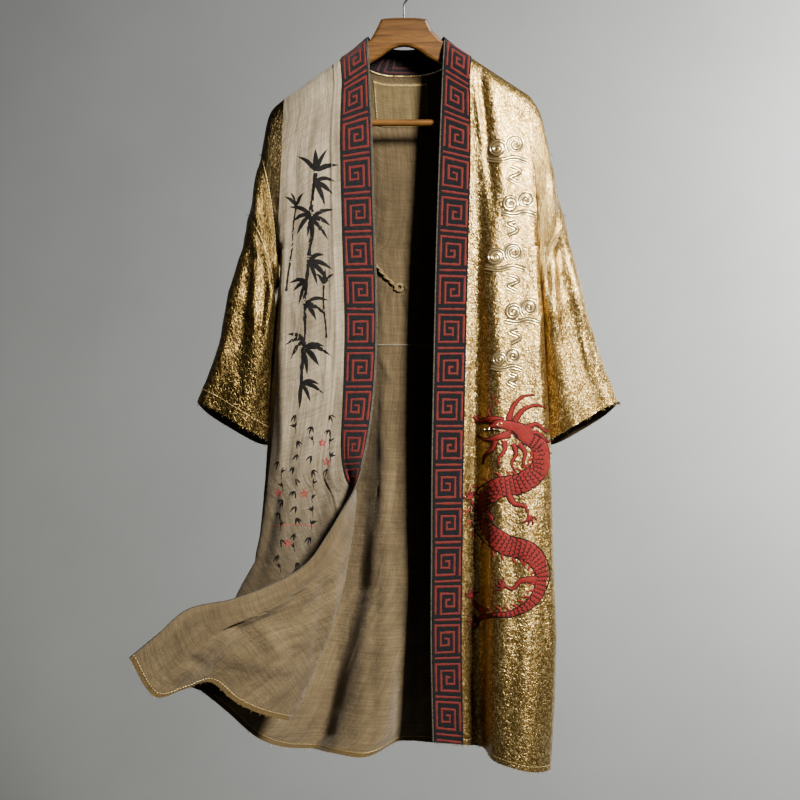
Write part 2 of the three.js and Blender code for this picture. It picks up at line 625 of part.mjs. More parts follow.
function tube(points, radius, steps, sides) {
  const shape = new THREE.Shape();
  for (let k = 0; k < sides; k += 1) {
    const turn = (2 * Math.PI * k) / sides;
    const place = [radius * Math.cos(turn), radius * Math.sin(turn)];
    if (k === 0) shape.moveTo(...place);
    else shape.lineTo(...place);
  }
  shape.closePath();
  const extrudePath = new THREE.CatmullRomCurve3(points, false, 'centripetal');
  return new THREE.ExtrudeGeometry(shape, { steps, extrudePath, bevelEnabled: false });
}

function tieCord(back) {
  const route = [0, 0.3, 0.65, 1].map((part) => {
    const along = lerp(TIE.start, 1, part);
    const lift = TIE.radius + TIE.clear;
    return insideBack(back, TIE.row - TIE.rows * along, TIE.column - TIE.columns * along, lift);
  });
  return tube(route, TIE.radius, 8, 8);
}

function tieKnot(back) {
  const geometry = new THREE.TorusGeometry(KNOT.radius, TIE.radius, 6, 14);
  geometry.rotateX(Math.PI / 2);
  const centre = insideBack(back, TIE.row, TIE.column, TIE.radius + KNOT.clear);
  return geometry.translate(centre.x, centre.y, centre.z);
}

// ------------------------------------------------------------------ hanger

const armTip = (side) => side.tip[0] - side.sign * ARM_SHORT;

function armOutline(side) {
  const inward = -side.sign;
  const under = (x) => shoulderZ(side, x) - WOOD_UNDER_CLOTH;
  const tip = armTip(side);
  const near = side.neck[0] + inward * ARM_START;
  const outer = tip + inward * ARM_SOCKET.outer;
  const inner = tip + inward * ARM_SOCKET.inner;
  const below = tip + inward * ARM_UNDER.inside;
  return {
    top: [
      [-inward * (WOOD_NECK_HALF + CREST_CORNER.out), WOOD_TOP - CREST_CORNER.down],
      [near, under(near)],
      [tip, under(tip)],
    ],
    end: [
      [tip - inward * ARM_NOSE.out, under(tip) - ARM_NOSE.down],
      [outer, BAR_Z - ARM_SOCKET.below],
      [inner, BAR_Z - ARM_SOCKET.below],
      [inner, BAR_Z + ARM_SOCKET.above],
      [below, under(below) - ARM_UNDER.down],
    ],
    foot: [-inward * ARCH.half, ARCH.foot],
  };
}

function hangerArms() {
  const right = armOutline(RIGHT);
  const left = armOutline(LEFT);
  const crestX = WOOD_NECK_HALF * CREST_ROUND.part;
  const crestZ = WOOD_TOP - CREST_ROUND.down;
  const shape = new THREE.Shape();
  shape.moveTo(0, WOOD_TOP);
  shape.quadraticCurveTo(-crestX, WOOD_TOP, -WOOD_NECK_HALF, crestZ);
  [...right.top, ...right.end].forEach((point) => shape.lineTo(...point));
  shape.lineTo(...right.foot);
  shape.quadraticCurveTo(0, ARCH.top, ...left.foot);
  [...left.end].reverse().forEach((point) => shape.lineTo(...point));
  [...left.top].reverse().forEach((point) => shape.lineTo(...point));
  shape.lineTo(WOOD_NECK_HALF, crestZ);
  shape.quadraticCurveTo(crestX, WOOD_TOP, 0, WOOD_TOP);
  const geometry = new THREE.ExtrudeGeometry(shape, {
    depth: WOOD_DEPTH - 2 * WOOD_BEVEL,
    curveSegments: 8,
    bevelThickness: WOOD_BEVEL,
    bevelSize: WOOD_BEVEL,
    bevelOffset: -WOOD_BEVEL,
    bevelSegments: 2,
  });
  geometry.translate(0, 0, -(WOOD_DEPTH - 2 * WOOD_BEVEL) / 2);
  return geometry.rotateX(Math.PI / 2);
}

function hangerBar() {
  const ends = [RIGHT, LEFT].map((side) => armTip(side) - side.sign * (ARM_SOCKET.inner + BAR_GAP));
  const geometry = new THREE.CylinderGeometry(BAR_RADIUS, BAR_RADIUS, ends[1] - ends[0], 16);
  geometry.rotateZ(Math.PI / 2);
  return geometry.translate((ends[0] + ends[1]) / 2, 0, BAR_Z);
}

function hangerHook() {
  const radius = CROOK_RADIUS + WIRE_RADIUS;
  const crook = Array.from({ length: CROOK.steps + 1 }, (_, k) => {
    const turn = degToRad(lerp(CROOK.from, CROOK.to, k / CROOK.steps));
    return [radius * Math.cos(turn), radius * Math.sin(turn) - CROOK_RADIUS];
  });
  return tube([...STEM, ...crook].map(([x, z]) => vector(x, 0, z)), WIRE_RADIUS, 36, 8);
}

// ------------------------------------------------------------------ the object

const robe = new THREE.Group();

function add(name, geometry, colour, roughness, metalness = 0) {
  const material = new THREE.MeshStandardMaterial({ color: colour, roughness, metalness });
  const mesh = new THREE.Mesh(geometry, material);
  mesh.name = name;
  robe.add(mesh);
}

const rightFront = frontSurface(RIGHT, rightFrontSection, RIGHT_FRONT, RIGHT_GRID);
const leftFront = frontSurface(LEFT, leftFrontSection, LEFT_FRONT, LEFT_GRID);
const back = backSurface();
const waist = ROUND_STEPS.length + WAIST_ROW * BACK_STEPS;
const lastBackRow = back.points.length - 1;

add('front_right', wall(rightFront, CLOTH), COLOURS.linen, 0.9);
add('front_left', wall(leftFront, CLOTH), COLOURS.gold, 0.45, 0.4);
add('band_right', band(rightFront, 1), COLOURS.band, 0.9);
add('band_left', band(leftFront, -1), COLOURS.band, 0.9);
add('back_upper', wall(trimmed(cut(back, [0, waist]), 'last'), CLOTH), COLOURS.lining, 0.85);
add('back_lower', wall(trimmed(cut(back, [waist, lastBackRow]), 'first'), CLOTH), COLOURS.lining, 0.85);
add('collar_back', wall(collarSurface(back), NECK_COLLAR), COLOURS.band, 0.9);

const patch = moved(cut(back, NECK_PATCH.rows, NECK_PATCH.columns), -(CLOTH / 2 + SEAM + PATCH_CLOTH / 2));
add('neck_patch', wall(patch, PATCH_CLOTH), COLOURS.patch, 0.9);
add('inner_tie', tieCord(back), COLOURS.cord, 0.85);
add('inner_tie_knot', tieKnot(back), COLOURS.cord, 0.85);

for (const [word, side, table] of [['right', RIGHT, RIGHT_SIDE], ['left', LEFT, LEFT_SIDE]]) {
  for (const { name, geometry } of sleevePieces(side, table)) {
    add(`sleeve_${word}_${name}`, geometry, COLOURS.gold, 0.45, 0.4);
  }
}

add('hanger_arms', hangerArms(), COLOURS.wood, 0.5);
add('hanger_bar', hangerBar(), COLOURS.wood, 0.5);
add('hanger_hook', hangerHook(), COLOURS.steel, 0.25, 1);

export default robe;
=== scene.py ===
"""A long open robe on a wooden hanger: the looks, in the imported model's frame.

Shapes are worked out in millimetres, like the solids, and turned into metres when a mesh is made.
+X is the viewer's right, -Y faces the viewer and +Z is up. The origin is the hook's inside top.
"""
import math
import random

import bpy
import numpy as np
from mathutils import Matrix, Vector
from mathutils.bvhtree import BVHTree


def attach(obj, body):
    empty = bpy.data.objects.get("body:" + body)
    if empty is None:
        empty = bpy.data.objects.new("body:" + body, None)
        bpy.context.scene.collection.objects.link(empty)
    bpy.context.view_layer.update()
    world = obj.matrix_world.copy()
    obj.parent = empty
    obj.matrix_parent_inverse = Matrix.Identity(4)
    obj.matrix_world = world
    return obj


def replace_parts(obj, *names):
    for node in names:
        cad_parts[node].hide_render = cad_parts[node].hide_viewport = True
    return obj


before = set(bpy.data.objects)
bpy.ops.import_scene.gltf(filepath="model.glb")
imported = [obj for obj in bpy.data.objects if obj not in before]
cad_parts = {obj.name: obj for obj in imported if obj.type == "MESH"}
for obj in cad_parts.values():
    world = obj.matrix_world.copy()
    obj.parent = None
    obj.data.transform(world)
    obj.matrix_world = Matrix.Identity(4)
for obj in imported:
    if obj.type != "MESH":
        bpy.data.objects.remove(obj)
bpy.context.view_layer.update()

MM = 0.001
random.seed(7)

# ------------------------------------------------------------------ sizes shared with the solids

CLOTH = 1.6                   # thickness of the fronts, the back and the sleeves
BAND_CLOTH = 1.6
PATCH_CLOTH = 1.0
SEAM = 0.3                    # room between two cloths that are sewn together
SEAM_HALF = 0.25
BAND_WIDTH = 55
PIPING = 2
NECK_COLLAR = 2.0             # thickness of the band behind the neck

RIGHT = {"sign": -1, "neck": (-63.6, -117.7), "tip": (-208, -220), "inner": 0, "outer": (0, 0)}
LEFT = {"sign": 1, "neck": (70.3, -117.7), "tip": (218, -214.5), "inner": 13, "outer": (5, 13)}

UNDERARM = -482
SEAM_START = 12
ARMHOLE_POWER = 4
SLEEVE_POWER = 3
BACK_ARMHOLE_DEPTH = 31
SEAM_RECESS = 13
RECESS_RUN = 60
SIDE_FOLD = 5                 # from a side's corner to where the cloth starts to turn round it
SIDE_SWELL = 3
SIDE_SWELL_SHARE = 0.14       # more swell for each millimetre of a side's depth
SWELL_RUN = (15, 120)         # below the underarm, where that swell grows


def table(names, *rows):
    """Rows of values under named columns; a value may be a point."""
    keys = names.split()
    return {key: np.array([row[k] for row in rows], float) for k, key in enumerate(keys)}


def each_row(rows):
    return zip(*rows.values())


RIGHT_SIDE = table(
    "z x y seam",
    (-220, -208, -24, 0),
    (-345, -212.7, -27, 0),
    (-482, -219.6, -32, 0),
    (-627, -227.5, -36, 0),
    (-767, -235.6, -38, 0),
    (-896, -243, -36, -1),
    (-978, -252, -32, -2),
    (-1025, -260, -30, -3),
    (-1077, -289, -28, -4),
    (-1179, -332, -26, -6),
    (-1216, -357, -25, -7),
    (-1236, -387, -25, -7),
)
LEFT_SIDE = table(
    "z x y seam",
    (-214.5, 218, -24, 0),
    (-345, 224.8, -31, 0),
    (-482, 232.4, -38, 0),
    (-650, 240.5, -46, 0),
    (-850, 252.5, -52, 0),
    (-1000, 254.6, -56, 0),
    (-1150, 260, -58, 0),
    (-1260, 257, -58, 0),
    (-1379, 250.5, -56, 0),
)
# side height, turn and free edge as points, swell of the turned cloth, width of the band
RIGHT_FRONT = table(
    "side turn edge roll band",
    (-265, (-138, -24, -215), (-61.2, -20, -162.7), 2, 55),
    (-345, (-136, -31, -322), (-55.4, -27, -307), 2, 55),
    (-470, (-134, -37, -462), (-51.2, -31, -458), 2, 55),
    (-610, (-128, -43, -606), (-47.0, -36, -605), 2, 55),
    (-735, (-118, -49, -728), (-51.6, -46, -728), 3, 52),
    (-820, (-106, -56, -818), (-63.0, -62, -818), 3, 44),
    (-872, (-92, -60, -872), (-74.5, -79, -869), 1, 35),
    (-905, (-82, -60, -905), (-85, -90, -899), 0, 31),
    (-932, (-84, -62, -937), (-103, -97, -929), 3, 32),
    (-978, (-89, -64, -978), (-127, -102, -969), 9, 36),
    (-1025, (-96, -66, -1024), (-163.5, -107, -1019), 16, 42),
    (-1077, (-106, -68, -1073), (-220, -112, -1053), 22, 48),
    (-1125, (-120, -70, -1121), (-287, -118, -1078), 27, 52),
    (-1179, (-139, -71, -1174), (-360, -122, -1094), 30, 54),
    (-1216, (-164, -72, -1228), (-412, -122, -1137), 30, 55),
    (-1236, (-194, -72, -1289), (-459, -120, -1176), 28, 55),
)
# Waves across the blown part: place and width as shares, and how far each one drops and comes out.
FLAP_WAVES = table(
    "at width down forward",
    (0.78, 0.13, 44, 20),
    (0.52, 0.15, -16, -14),
    (0.24, 0.12, 4, 8),
)
FLAP_START = 7                # row of the table from which the front is blown
LAP_SHARES = (0.82, 0.66, 0.5, 0.34, 0.18)    # places from the turn to the free edge
TURN_NEAR = 14                # a place on the face close to the turn, which keeps the turn tight
FACE_SWELL = 3
# section height, its slope, and x and y of the free edge, hollow, crest and broad face
LEFT_FRONT = table(
    "z slant edge hollow crest face",
    (-259.5, 1, (68.0, -20), (126, -24), (150, -26), (188, -27)),
    (-345, 0.4, (62.0, -26), (126, -26), (149, -33), (190, -36)),
    (-482, 0.1, (56.3, -31), (124, -30), (149, -41), (194, -46)),
    (-650, 0, (52.0, -35), (122, -29), (150, -48), (200, -56)),
    (-850, 0, (48.1, -38), (123, -25), (152, -54), (205, -64)),
    (-1000, 0, (47.2, -38), (126, -19), (153, -58), (208, -71)),
    (-1150, 0, (46.4, -36), (130, -12), (154, -62), (210, -79)),
    (-1260, 0, (47.9, -32), (133, -7), (155, -66), (210, -85)),
    (-1352, 0, (50.0, -28), (136, -4), (156, -68), (208, -88)),
)
LEFT_HEM = {"edge": 18, "hollow": 3, "crest": -8, "face": -21, "side": -27}
LEFT_HEM_ROWS = 2             # rows over which the hem's own heights fade in
HOLLOW_SHARE = 0.6            # a place between the left front's edge and its hollow
BACK_STATIONS = (0.1, 0.19, 0.26, 0.34, 0.4, 0.5, 0.6, 0.72, 0.86)
BACK = table(
    "right left slant depth hem",
    (-265, -259.5, 1, (32, 38, 43, 46, 47, 47, 45, 39, 33), 0),
    (-345, -345, 0.4, (36, 43, 47, 47, 44, 44, 48, 46, 38), 0),
    (-482, -482, 0.1, (38, 48, 56, 54, 46, 46, 55, 52, 42), 0),
    (-647, -647, 0, (40, 53, 65, 60, 45, 46, 62, 58, 46), 0),
    (-820, -850, 0, (38, 56, 73, 66, 40, 40, 66, 62, 48), 0),
    (-978, -1030, 0, (30, 56, 80, 72, 34, 30, 66, 64, 48), 0.25),
    (-1110, -1200, 0, (16, 46, 80, 80, 30, 20, 62, 64, 48), 0.6),
    (-1236, -1366, 0, (7, 28, 56, 82, 32, 13, 60, 62, 46), 1),
)
BACK_HEM = (-38, -79, -92, -90, -79, -70, -39, -27, -10)
BACK_COLUMNS = 26
COLUMN_SNAP = 9
COLUMN_DRAW = 60
WAIST_ROW = 3
CORNER_SHARE = 0.3            # the back's corners: how far along, and how much of the depth
CORNER_DEPTH = 0.62

SLEEVE = table(
    "outer inner bow front back lift drop",
    ((232, -243), (221.6, -494), 3, 30, 32, 0, 0),
    ((249.6, -326), (224, -524), 9, 32, 36, 0, 0),
    ((273, -432), (229, -572), 14, 34, 40, 0, 2),
    ((291, -515), (232, -632), 10, 36, 40, 0, 5),
    ((328, -661), (235, -745), 4, 34, 38, 3, 11),
    ((360, -748), (236, -819), 0, 31, 36, 5, 16),
)
SLEEVE_SEAMS = (2, 3)         # rings with a seam across
# Soft folds along a sleeve: angle and width in degrees, start and end as shares, and height.
SLEEVE_FOLDS = table(
    "angle width start end out",
    (62, 17, 0.35, 1.2, 6),
    (108, 16, 0.45, 1.2, -5),
    (250, 20, 0.4, 1.2, 5),
    (300, 18, 0.3, 1.2, -5),
)
FOLD_START = 0.25             # share of a sleeve over which such a fold starts, and ends
FOLD_END = 0.2
COLLAR = {"seamDepth": 41, "fallDepth": 14, "edgeDepth": 38, "seamZ": -171, "edgeZ": -125.6,
          "crown": 12, "gap": 1.0}

# ------------------------------------------------------------------ small tools

LATTICE = 128                 # period of the noise
UPRIGHT = 0.8                 # a rim's normals that face the viewer less than this are laid level


def smoothstep(x, low, high):
    """0 below low and 1 above high, with a soft run between."""
    part = np.clip((x - low) / (high - low), 0, 1)
    return part * part * (3 - 2 * part)


def bump_at(x, centre, width):
    return np.exp(-(((x - centre) / width) ** 2))


def lerp(a, b, part):
    return a + (b - a) * part


def point(x, y, z):
    return np.array((x, y, z), float)


def row_at(rows, position):
    """A row part of the way down a table, with every column on a smooth curve."""
    count = len(next(iter(rows.values())))
    first = min(max(int(math.floor(position)), 0), count - 2)
    t = position - first
    a, b, c, d = (min(max(first + step, 0), count - 1) for step in (-1, 0, 1, 2))
    t2, t3 = t * t, t * t * t
    weights = (
        (a, (-t3 + 2 * t2 - t) / 2),
        (b, (3 * t3 - 5 * t2 + 2) / 2),
        (c, (-3 * t3 + 4 * t2 + t) / 2),
        (d, (t3 - t2) / 2),
    )
    return {key: sum(values[k] * w for k, w in weights) for key, values in rows.items()}


def row_at_height(rows, z):
    """A row of a side line at height z, with straight runs between rows."""
    heights = -rows["z"]
    row = {key: float(np.interp(-z, heights, values)) for key, values in rows.items()}
    row["z"] = z
    return row


def centripetal(points, per_span=14):
    """A dense run of points on a smooth curve that doesn't overshoot its corners."""
    p = np.array(points, float)
    p = np.vstack([2 * p[0] - p[1], p, 2 * p[-1] - p[-2]])
    gaps = np.maximum(np.linalg.norm(np.diff(p, axis=0), axis=1) ** 0.5, 1e-4)
    spans = []
    for k in range(1, len(p) - 2):
        d0, d1, d2 = gaps[k - 1], gaps[k], gaps[k + 1]
        a, b, c, d = p[k - 1], p[k], p[k + 1], p[k + 2]
        out = ((b - a) / d0 - (c - a) / (d0 + d1) + (c - b) / d1) * d1
        into = ((c - b) / d1 - (d - b) / (d1 + d2) + (d - c) / d2) * d1
        t = np.linspace(0, 1, per_span + 1)[:-1, None]
        spans.append(b + out * t + (-3 * b + 3 * c - 2 * out - into) * t**2
                     + (2 * b - 2 * c + out + into) * t**3)
    return np.vstack([*spans, p[-2][None]])


def lengths_along(points):
    steps = np.linalg.norm(np.diff(points, axis=0), axis=1)
    return np.concatenate([[0], np.cumsum(steps)])


def cloth_lengths(points):
    """Distances across a cloth from its first column, and down it from its first row."""
    across = np.linalg.norm(np.diff(points, axis=1), axis=2)
    down = np.linalg.norm(np.diff(points, axis=0), axis=2)
    return (np.concatenate([np.zeros((len(points), 1)), np.cumsum(across, axis=1)], axis=1),
            np.concatenate([np.zeros((1, points.shape[1])), np.cumsum(down, axis=0)], axis=0))


def read_at(spots, run, values):
    """The values of a run of points at given distances along it."""
    return np.stack([np.interp(spots, run, column) for column in values.T], axis=-1)


def points_at(dense, distances):
    """Points of a dense run; distances works out where, from the length of the run."""
    run = lengths_along(dense)
    return read_at(np.clip(distances(run[-1]), 0, run[-1]), run, dense)


def noise(u, v, seed):
    """Smooth noise from -1 to 1 over two arrays."""
    lattice = np.random.RandomState(seed).uniform(-1, 1, (LATTICE, LATTICE))
    i, j = np.floor(u).astype(int), np.floor(v).astype(int)
    a, b = u - i, v - j
    a, b = a * a * (3 - 2 * a), b * b * (3 - 2 * b)
    i, j, after, below = i % LATTICE, j % LATTICE, (i + 1) % LATTICE, (j + 1) % LATTICE
    return lerp(lerp(lattice[i, j], lattice[after, j], a),
                lerp(lattice[i, below], lattice[after, below], a), b)


def layered(u, v, seed, octaves=3):
    return sum(noise(u * 2**k, v * 2**k, seed + k) / 2**k for k in range(octaves))


def grid_normals(points, wrap=False, flat_rows=(), flat_columns=()):
    """Normals of a grid, as the solids have them, so that pieces meet face to face."""
    if wrap:
        along = np.roll(points, -1, axis=1) - np.roll(points, 1, axis=1)
    else:
        padded = np.concatenate([points[:, :1], points, points[:, -1:]], axis=1)
        along = padded[:, 2:] - padded[:, :-2]
    padded = np.concatenate([points[:1], points, points[-1:]], axis=0)
    down = padded[2:] - padded[:-2]
    normals = np.cross(along, down)
    normals /= np.maximum(np.linalg.norm(normals, axis=2, keepdims=True), 1e-9)
    for i in flat_rows:
        level = np.abs(normals[i, :, 1]) < UPRIGHT
        normals[i, level, 1] = 0
    for j in flat_columns:
        below = points[:, j, 2] < UNDERARM + SEAM_START
        normals[below, j, 1] = 0
    return normals / np.maximum(np.linalg.norm(normals, axis=2, keepdims=True), 1e-9)


# ------------------------------------------------------------------ shoulders and side seams


def shoulder_z(side, x):
    part = (x - side["neck"][0]) / (side["tip"][0] - side["neck"][0])
    return lerp(side["neck"][1], side["tip"][1], part)


def armhole_opening(side, z):
    tip = side["tip"][1]
    place = np.clip((z - (tip + UNDERARM) / 2) / ((tip - UNDERARM) / 2), -1, 1)
    return 0.0 if z < UNDERARM else math.sqrt(1 - abs(place) ** ARMHOLE_POWER)


def seam_point(side, rows, z, face):
    row = row_at_height(rows, z)
    recess = SEAM_RECESS * smoothstep(UNDERARM - z, 0, RECESS_RUN)
    reach = row["y"] if face < 0 else BACK_ARMHOLE_DEPTH
    y = row["seam"] + reach * armhole_opening(side, z) + face * SEAM_HALF
    return point(row["x"] - side["sign"] * recess, y, z)


def side_wrap(side, rows, z):
    row = row_at_height(rows, z)
    seam = seam_point(side, rows, z, -1)
    fold = point(row["x"] - side["sign"] * SIDE_FOLD, row["y"], z)
    turn = lerp(fold, seam, 0.5)
    swell = SIDE_SWELL + SIDE_SWELL_SHARE * abs(seam[1] - row["y"])
    turn[0] += side["sign"] * swell * smoothstep(UNDERARM - z, *SWELL_RUN)
    return [fold, turn, seam]


def round_over(top, first, degrees):
    """Rows that round over from a shoulder's edge down into a cloth's first section."""
    turns = np.radians(degrees)[:, None]
    rise, run = 1 - np.cos(turns), np.sin(turns)
    return np.stack([lerp(top[:, k], first[:, k], share) for k, share in enumerate((rise, run, rise))],
                    axis=2)


def shoulder_edge(side, y, distances):
    ends = np.array([(side["neck"][0], y, side["neck"][1]), (side["tip"][0], y, side["tip"][1])])
    return points_at(ends, distances)


# ------------------------------------------------------------------ surfaces of the fronts


def right_front_section(position):
    row = row_at(RIGHT_FRONT, position)
    edge, turn = row["edge"], row["turn"]
    last = len(RIGHT_FRONT["side"]) - 1
    blown = min(max((position - FLAP_START) / (last - FLAP_START), 0), 1)
    lap = []
    for part in LAP_SHARES:
        place = lerp(turn, edge, part)
        place[1] -= row["roll"] * 4 * part * (1 - part)
        for at, width, down, forward in each_row(FLAP_WAVES):
            size = bump_at(part, at, width) * blown**2
            place[2] -= down * size
            place[1] -= forward * size
        lap.append(place)
    side = side_wrap(RIGHT, RIGHT_SIDE, row["side"])
    flat = lerp(turn, side[0], 0.5)
    flat[1] -= FACE_SWELL
    near = lerp(turn, flat, TURN_NEAR / np.linalg.norm(turn - flat))
    return [edge, *lap, turn, near, flat, *side]


def left_front_section(position):
    row = row_at(LEFT_FRONT, position)
    last = len(LEFT_FRONT["z"]) - 1
    hem = float(smoothstep(position, last - LEFT_HEM_ROWS, last))

    def place(name):
        x, y = row[name]
        slope = row["slant"] * (shoulder_z(LEFT, x) - LEFT["tip"][1])
        return point(x, y, row["z"] + slope + LEFT_HEM[name] * hem)

    edge, hollow = place("edge"), place("hollow")
    side = side_wrap(LEFT, LEFT_SIDE, row["z"] + LEFT_HEM["side"] * hem)
    return [edge, lerp(edge, hollow, HOLLOW_SHARE), hollow, place("crest"), place("face"), *side]


def front_points(side, section, rows, columns, degrees, per_row):
    """Points of a front; columns gives distances from the free edge for a length and band width."""
    last = len(next(iter(rows.values()))) - 1
    positions = np.linspace(0, last, last * per_row + 1)
    sections = []
    for position in positions:
        row = row_at(rows, position)
        width = float(row["band"]) if "band" in row else BAND_WIDTH
        dense = centripetal(section(position))
        sections.append(points_at(dense, lambda length: columns(length, width)))
    top = shoulder_edge(side, -SEAM_HALF, lambda length: columns(length, BAND_WIDTH))
    return np.concatenate([round_over(top, sections[0], degrees), np.array(sections)])


# ------------------------------------------------------------------ surfaces of back and collar


def neck_side(x):
    return RIGHT if x < 0 else LEFT


def neckline_half(side):
    slope = (side["tip"][1] - side["neck"][1]) / (side["tip"][0] - side["neck"][0])
    return abs(side["neck"][0]) + BAND_WIDTH / math.hypot(1, slope)


def back_top(x):
    side = neck_side(x)
    place = abs(x) / neckline_half(side)
    if place >= 1:
        return point(x, SEAM_HALF, shoulder_z(side, x))
    depth = COLLAR["seamDepth"] * math.sqrt(1 - place**2)
    drop = smoothstep(depth, COLLAR["fallDepth"], COLLAR["seamDepth"])
    z = lerp(shoulder_z(side, x), COLLAR["seamZ"], drop)
    return point(x, SEAM_HALF + depth, z)


def back_section(position):
    row = row_at(BACK, position)
    first = seam_point(RIGHT, RIGHT_SIDE, row["right"], 1)
    last = seam_point(LEFT, LEFT_SIDE, row["left"], 1)
    middle = []
    for k, part in enumerate(BACK_STATIONS):
        x = lerp(first[0], last[0], part)
        slope = row["slant"] * (back_top(x)[2] - lerp(RIGHT["tip"][1], LEFT["tip"][1], part))
        z = lerp(first[2], last[2], part) + slope + BACK_HEM[k] * row["hem"]
        middle.append(point(x, row["depth"][k], z))

    def corner(end, near):
        place = lerp(end, near, CORNER_SHARE)
        place[1] = lerp(end[1], near[1], CORNER_DEPTH)
        return place

    return [first, corner(first, middle[0]), *middle, corner(last, middle[-1]), last]


def drawn_to_corner(place, corner):
    inside = corner - place
    if abs(inside) < COLUMN_SNAP:
        return corner
    return corner - inside**2 / COLUMN_DRAW if 0 < inside < COLUMN_DRAW else place


def back_top_row(fractions):
    """The back's top edge under the given shares of its first section."""
    coarse = np.linspace(0, 1, BACK_COLUMNS + 1)
    dense = centripetal(back_section(0))
    first = points_at(dense, lambda length: coarse * length)[:, 0]
    drawn = [math.copysign(drawn_to_corner(abs(x), neckline_half(neck_side(x))), x) for x in first]
    drawn[0], drawn[-1] = RIGHT["tip"][0], LEFT["tip"][0]
    return np.array([back_top(x) for x in np.interp(fractions, coarse, drawn)])


def back_points(fractions, degrees, positions):
    """Points of the back from its top edge down; the first position is the top section's."""
    sections = []
    for position in positions:
        dense = centripetal(back_section(position))
        sections.append(points_at(dense, lambda length: fractions * length))
    top = round_over(back_top_row(fractions), sections[0], degrees)
    return np.concatenate([top, np.array(sections)])


def collar_points(columns, steps):
    """Columns down to the neckline seam, from the collar's free edge at the last step."""
    turns = np.linspace(-math.pi / 2, math.pi / 2, columns + 1)[1:-1]
    between = [neckline_half(neck_side(turn)) * np.sin(turn) for turn in turns]
    seam_x = [-neckline_half(RIGHT), *between, neckline_half(LEFT)]
    rows = []
    for x in seam_x:
        side = neck_side(x)
        start = back_top(x)
        across = min(abs(x) / neckline_half(side), 1)
        depth = math.sqrt(1 - across**2)
        crown = COLLAR["crown"] * math.sin(math.pi * min(depth * 2, 1)) * (1 - depth)
        edge = point(
            side["neck"][0] * across,
            SEAM_HALF + COLLAR["edgeDepth"] * depth,
            lerp(side["neck"][1], COLLAR["edgeZ"], depth**2) + crown,
        )
        inward = edge - start
        lower = start + inward / np.linalg.norm(inward) * COLLAR["gap"]
        rows.append([lerp(lower, edge, part) for part in np.linspace(0, 1, steps + 1)])
    return np.array(rows)


# ------------------------------------------------------------------ surfaces of the sleeves

ARMHOLE_ROOM = 1.3 * SEAM     # between a sleeve and the body's edge


def ring_shape(angle, power):
    """Place across and depth on a rounded square: its top is at 0 degrees, its front at 90."""
    across = math.cos(math.radians(angle))
    depth = math.sqrt(max(0, 1 - abs(across) ** power))
    return across, (-depth if angle <= 180 else depth)


def armhole_ring(side, rows, angle):
    across, _ = ring_shape(angle, ARMHOLE_POWER)
    z = lerp(UNDERARM, side["tip"][1], (across + 1) / 2)
    place = seam_point(side, rows, z, -1 if angle <= 180 else 1)
    low = smoothstep(-across, -0.2, 0.6)
    place[0] += side["sign"] * (ARMHOLE_ROOM + low * CLOTH)
    return place


def sleeve_ring(side, ring, angle):
    across, depth = ring_shape(angle, SLEEVE_POWER)
    share = ring / (len(SLEEVE["bow"]) - 1)
    reach = lerp(side["outer"][0], side["outer"][1], share)
    outer = point(SLEEVE["outer"][ring][0] + reach, 0, SLEEVE["outer"][ring][1])
    inner = point(SLEEVE["inner"][ring][0] + side["inner"], 0, SLEEVE["inner"][ring][1])
    place = lerp(inner, outer, (across + 1) / 2)
    place[0] = side["sign"] * (place[0] - SLEEVE["bow"][ring] * (1 - across**2))
    place[1] = depth * (SLEEVE["front"][ring] if depth < 0 else SLEEVE["back"][ring])
    place[2] += -SLEEVE["lift"][ring] * depth if depth < 0 else -SLEEVE["drop"][ring] * depth
    return place


def sleeve_points(side, rows, sides, per_ring):
    angles = np.linspace(0, 360, sides, endpoint=False)
    columns = []
    for angle in angles:
        rings = [sleeve_ring(side, ring, angle) for ring in range(len(SLEEVE["bow"]))]
        columns.append(centripetal([armhole_ring(side, rows, angle), *rings], per_ring))
    even = np.array(columns).transpose(1, 0, 2)
    part = np.linspace(0, 1, even.shape[0])[:, None]
    depth = np.zeros(even.shape[:2])
    for angle, width, start, end, out in each_row(SLEEVE_FOLDS):
        reach = smoothstep(part, start, start + FOLD_START) * (1 - smoothstep(part, end - FOLD_END, end))
        depth += out * bump_at(angles[None, :], angle, width) * reach
    normals = grid_normals(even, wrap=True)
    return even - side["sign"] * normals * depth[:, :, None]


# ------------------------------------------------------------------ making meshes


def linked(name, data):
    """A new object, put into the scene."""
    made = bpy.data.objects.new(name, data)
    bpy.context.scene.collection.objects.link(made)
    return made


def make_object(name, vertices, faces, looks, look_of_face=None, smooth=True):
    mesh = bpy.data.meshes.new(name)
    mesh.from_pydata((np.asarray(vertices) * MM).tolist(), [], np.asarray(faces).tolist())
    for look in looks:
        mesh.materials.append(look)
    if look_of_face is not None:
        mesh.polygons.foreach_set("material_index", np.asarray(look_of_face, dtype=np.int32))
    mesh.polygons.foreach_set("use_smooth", np.full(len(mesh.polygons), smooth))
    piece = linked(name, mesh)
    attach(piece, "root")
    return piece


def quads(rows, columns, wrap):
    """Faces of a grid; one that wraps has faces from its last column to its first as well."""
    spans = columns if wrap else columns - 1
    i, j = (a.ravel() for a in np.meshgrid(np.arange(rows - 1), np.arange(spans), indexing="ij"))
    here, beside, below = i * columns, (j + 1) % columns, (i + 1) * columns
    return np.stack([here + j, here + beside, below + beside, below + j], axis=1)


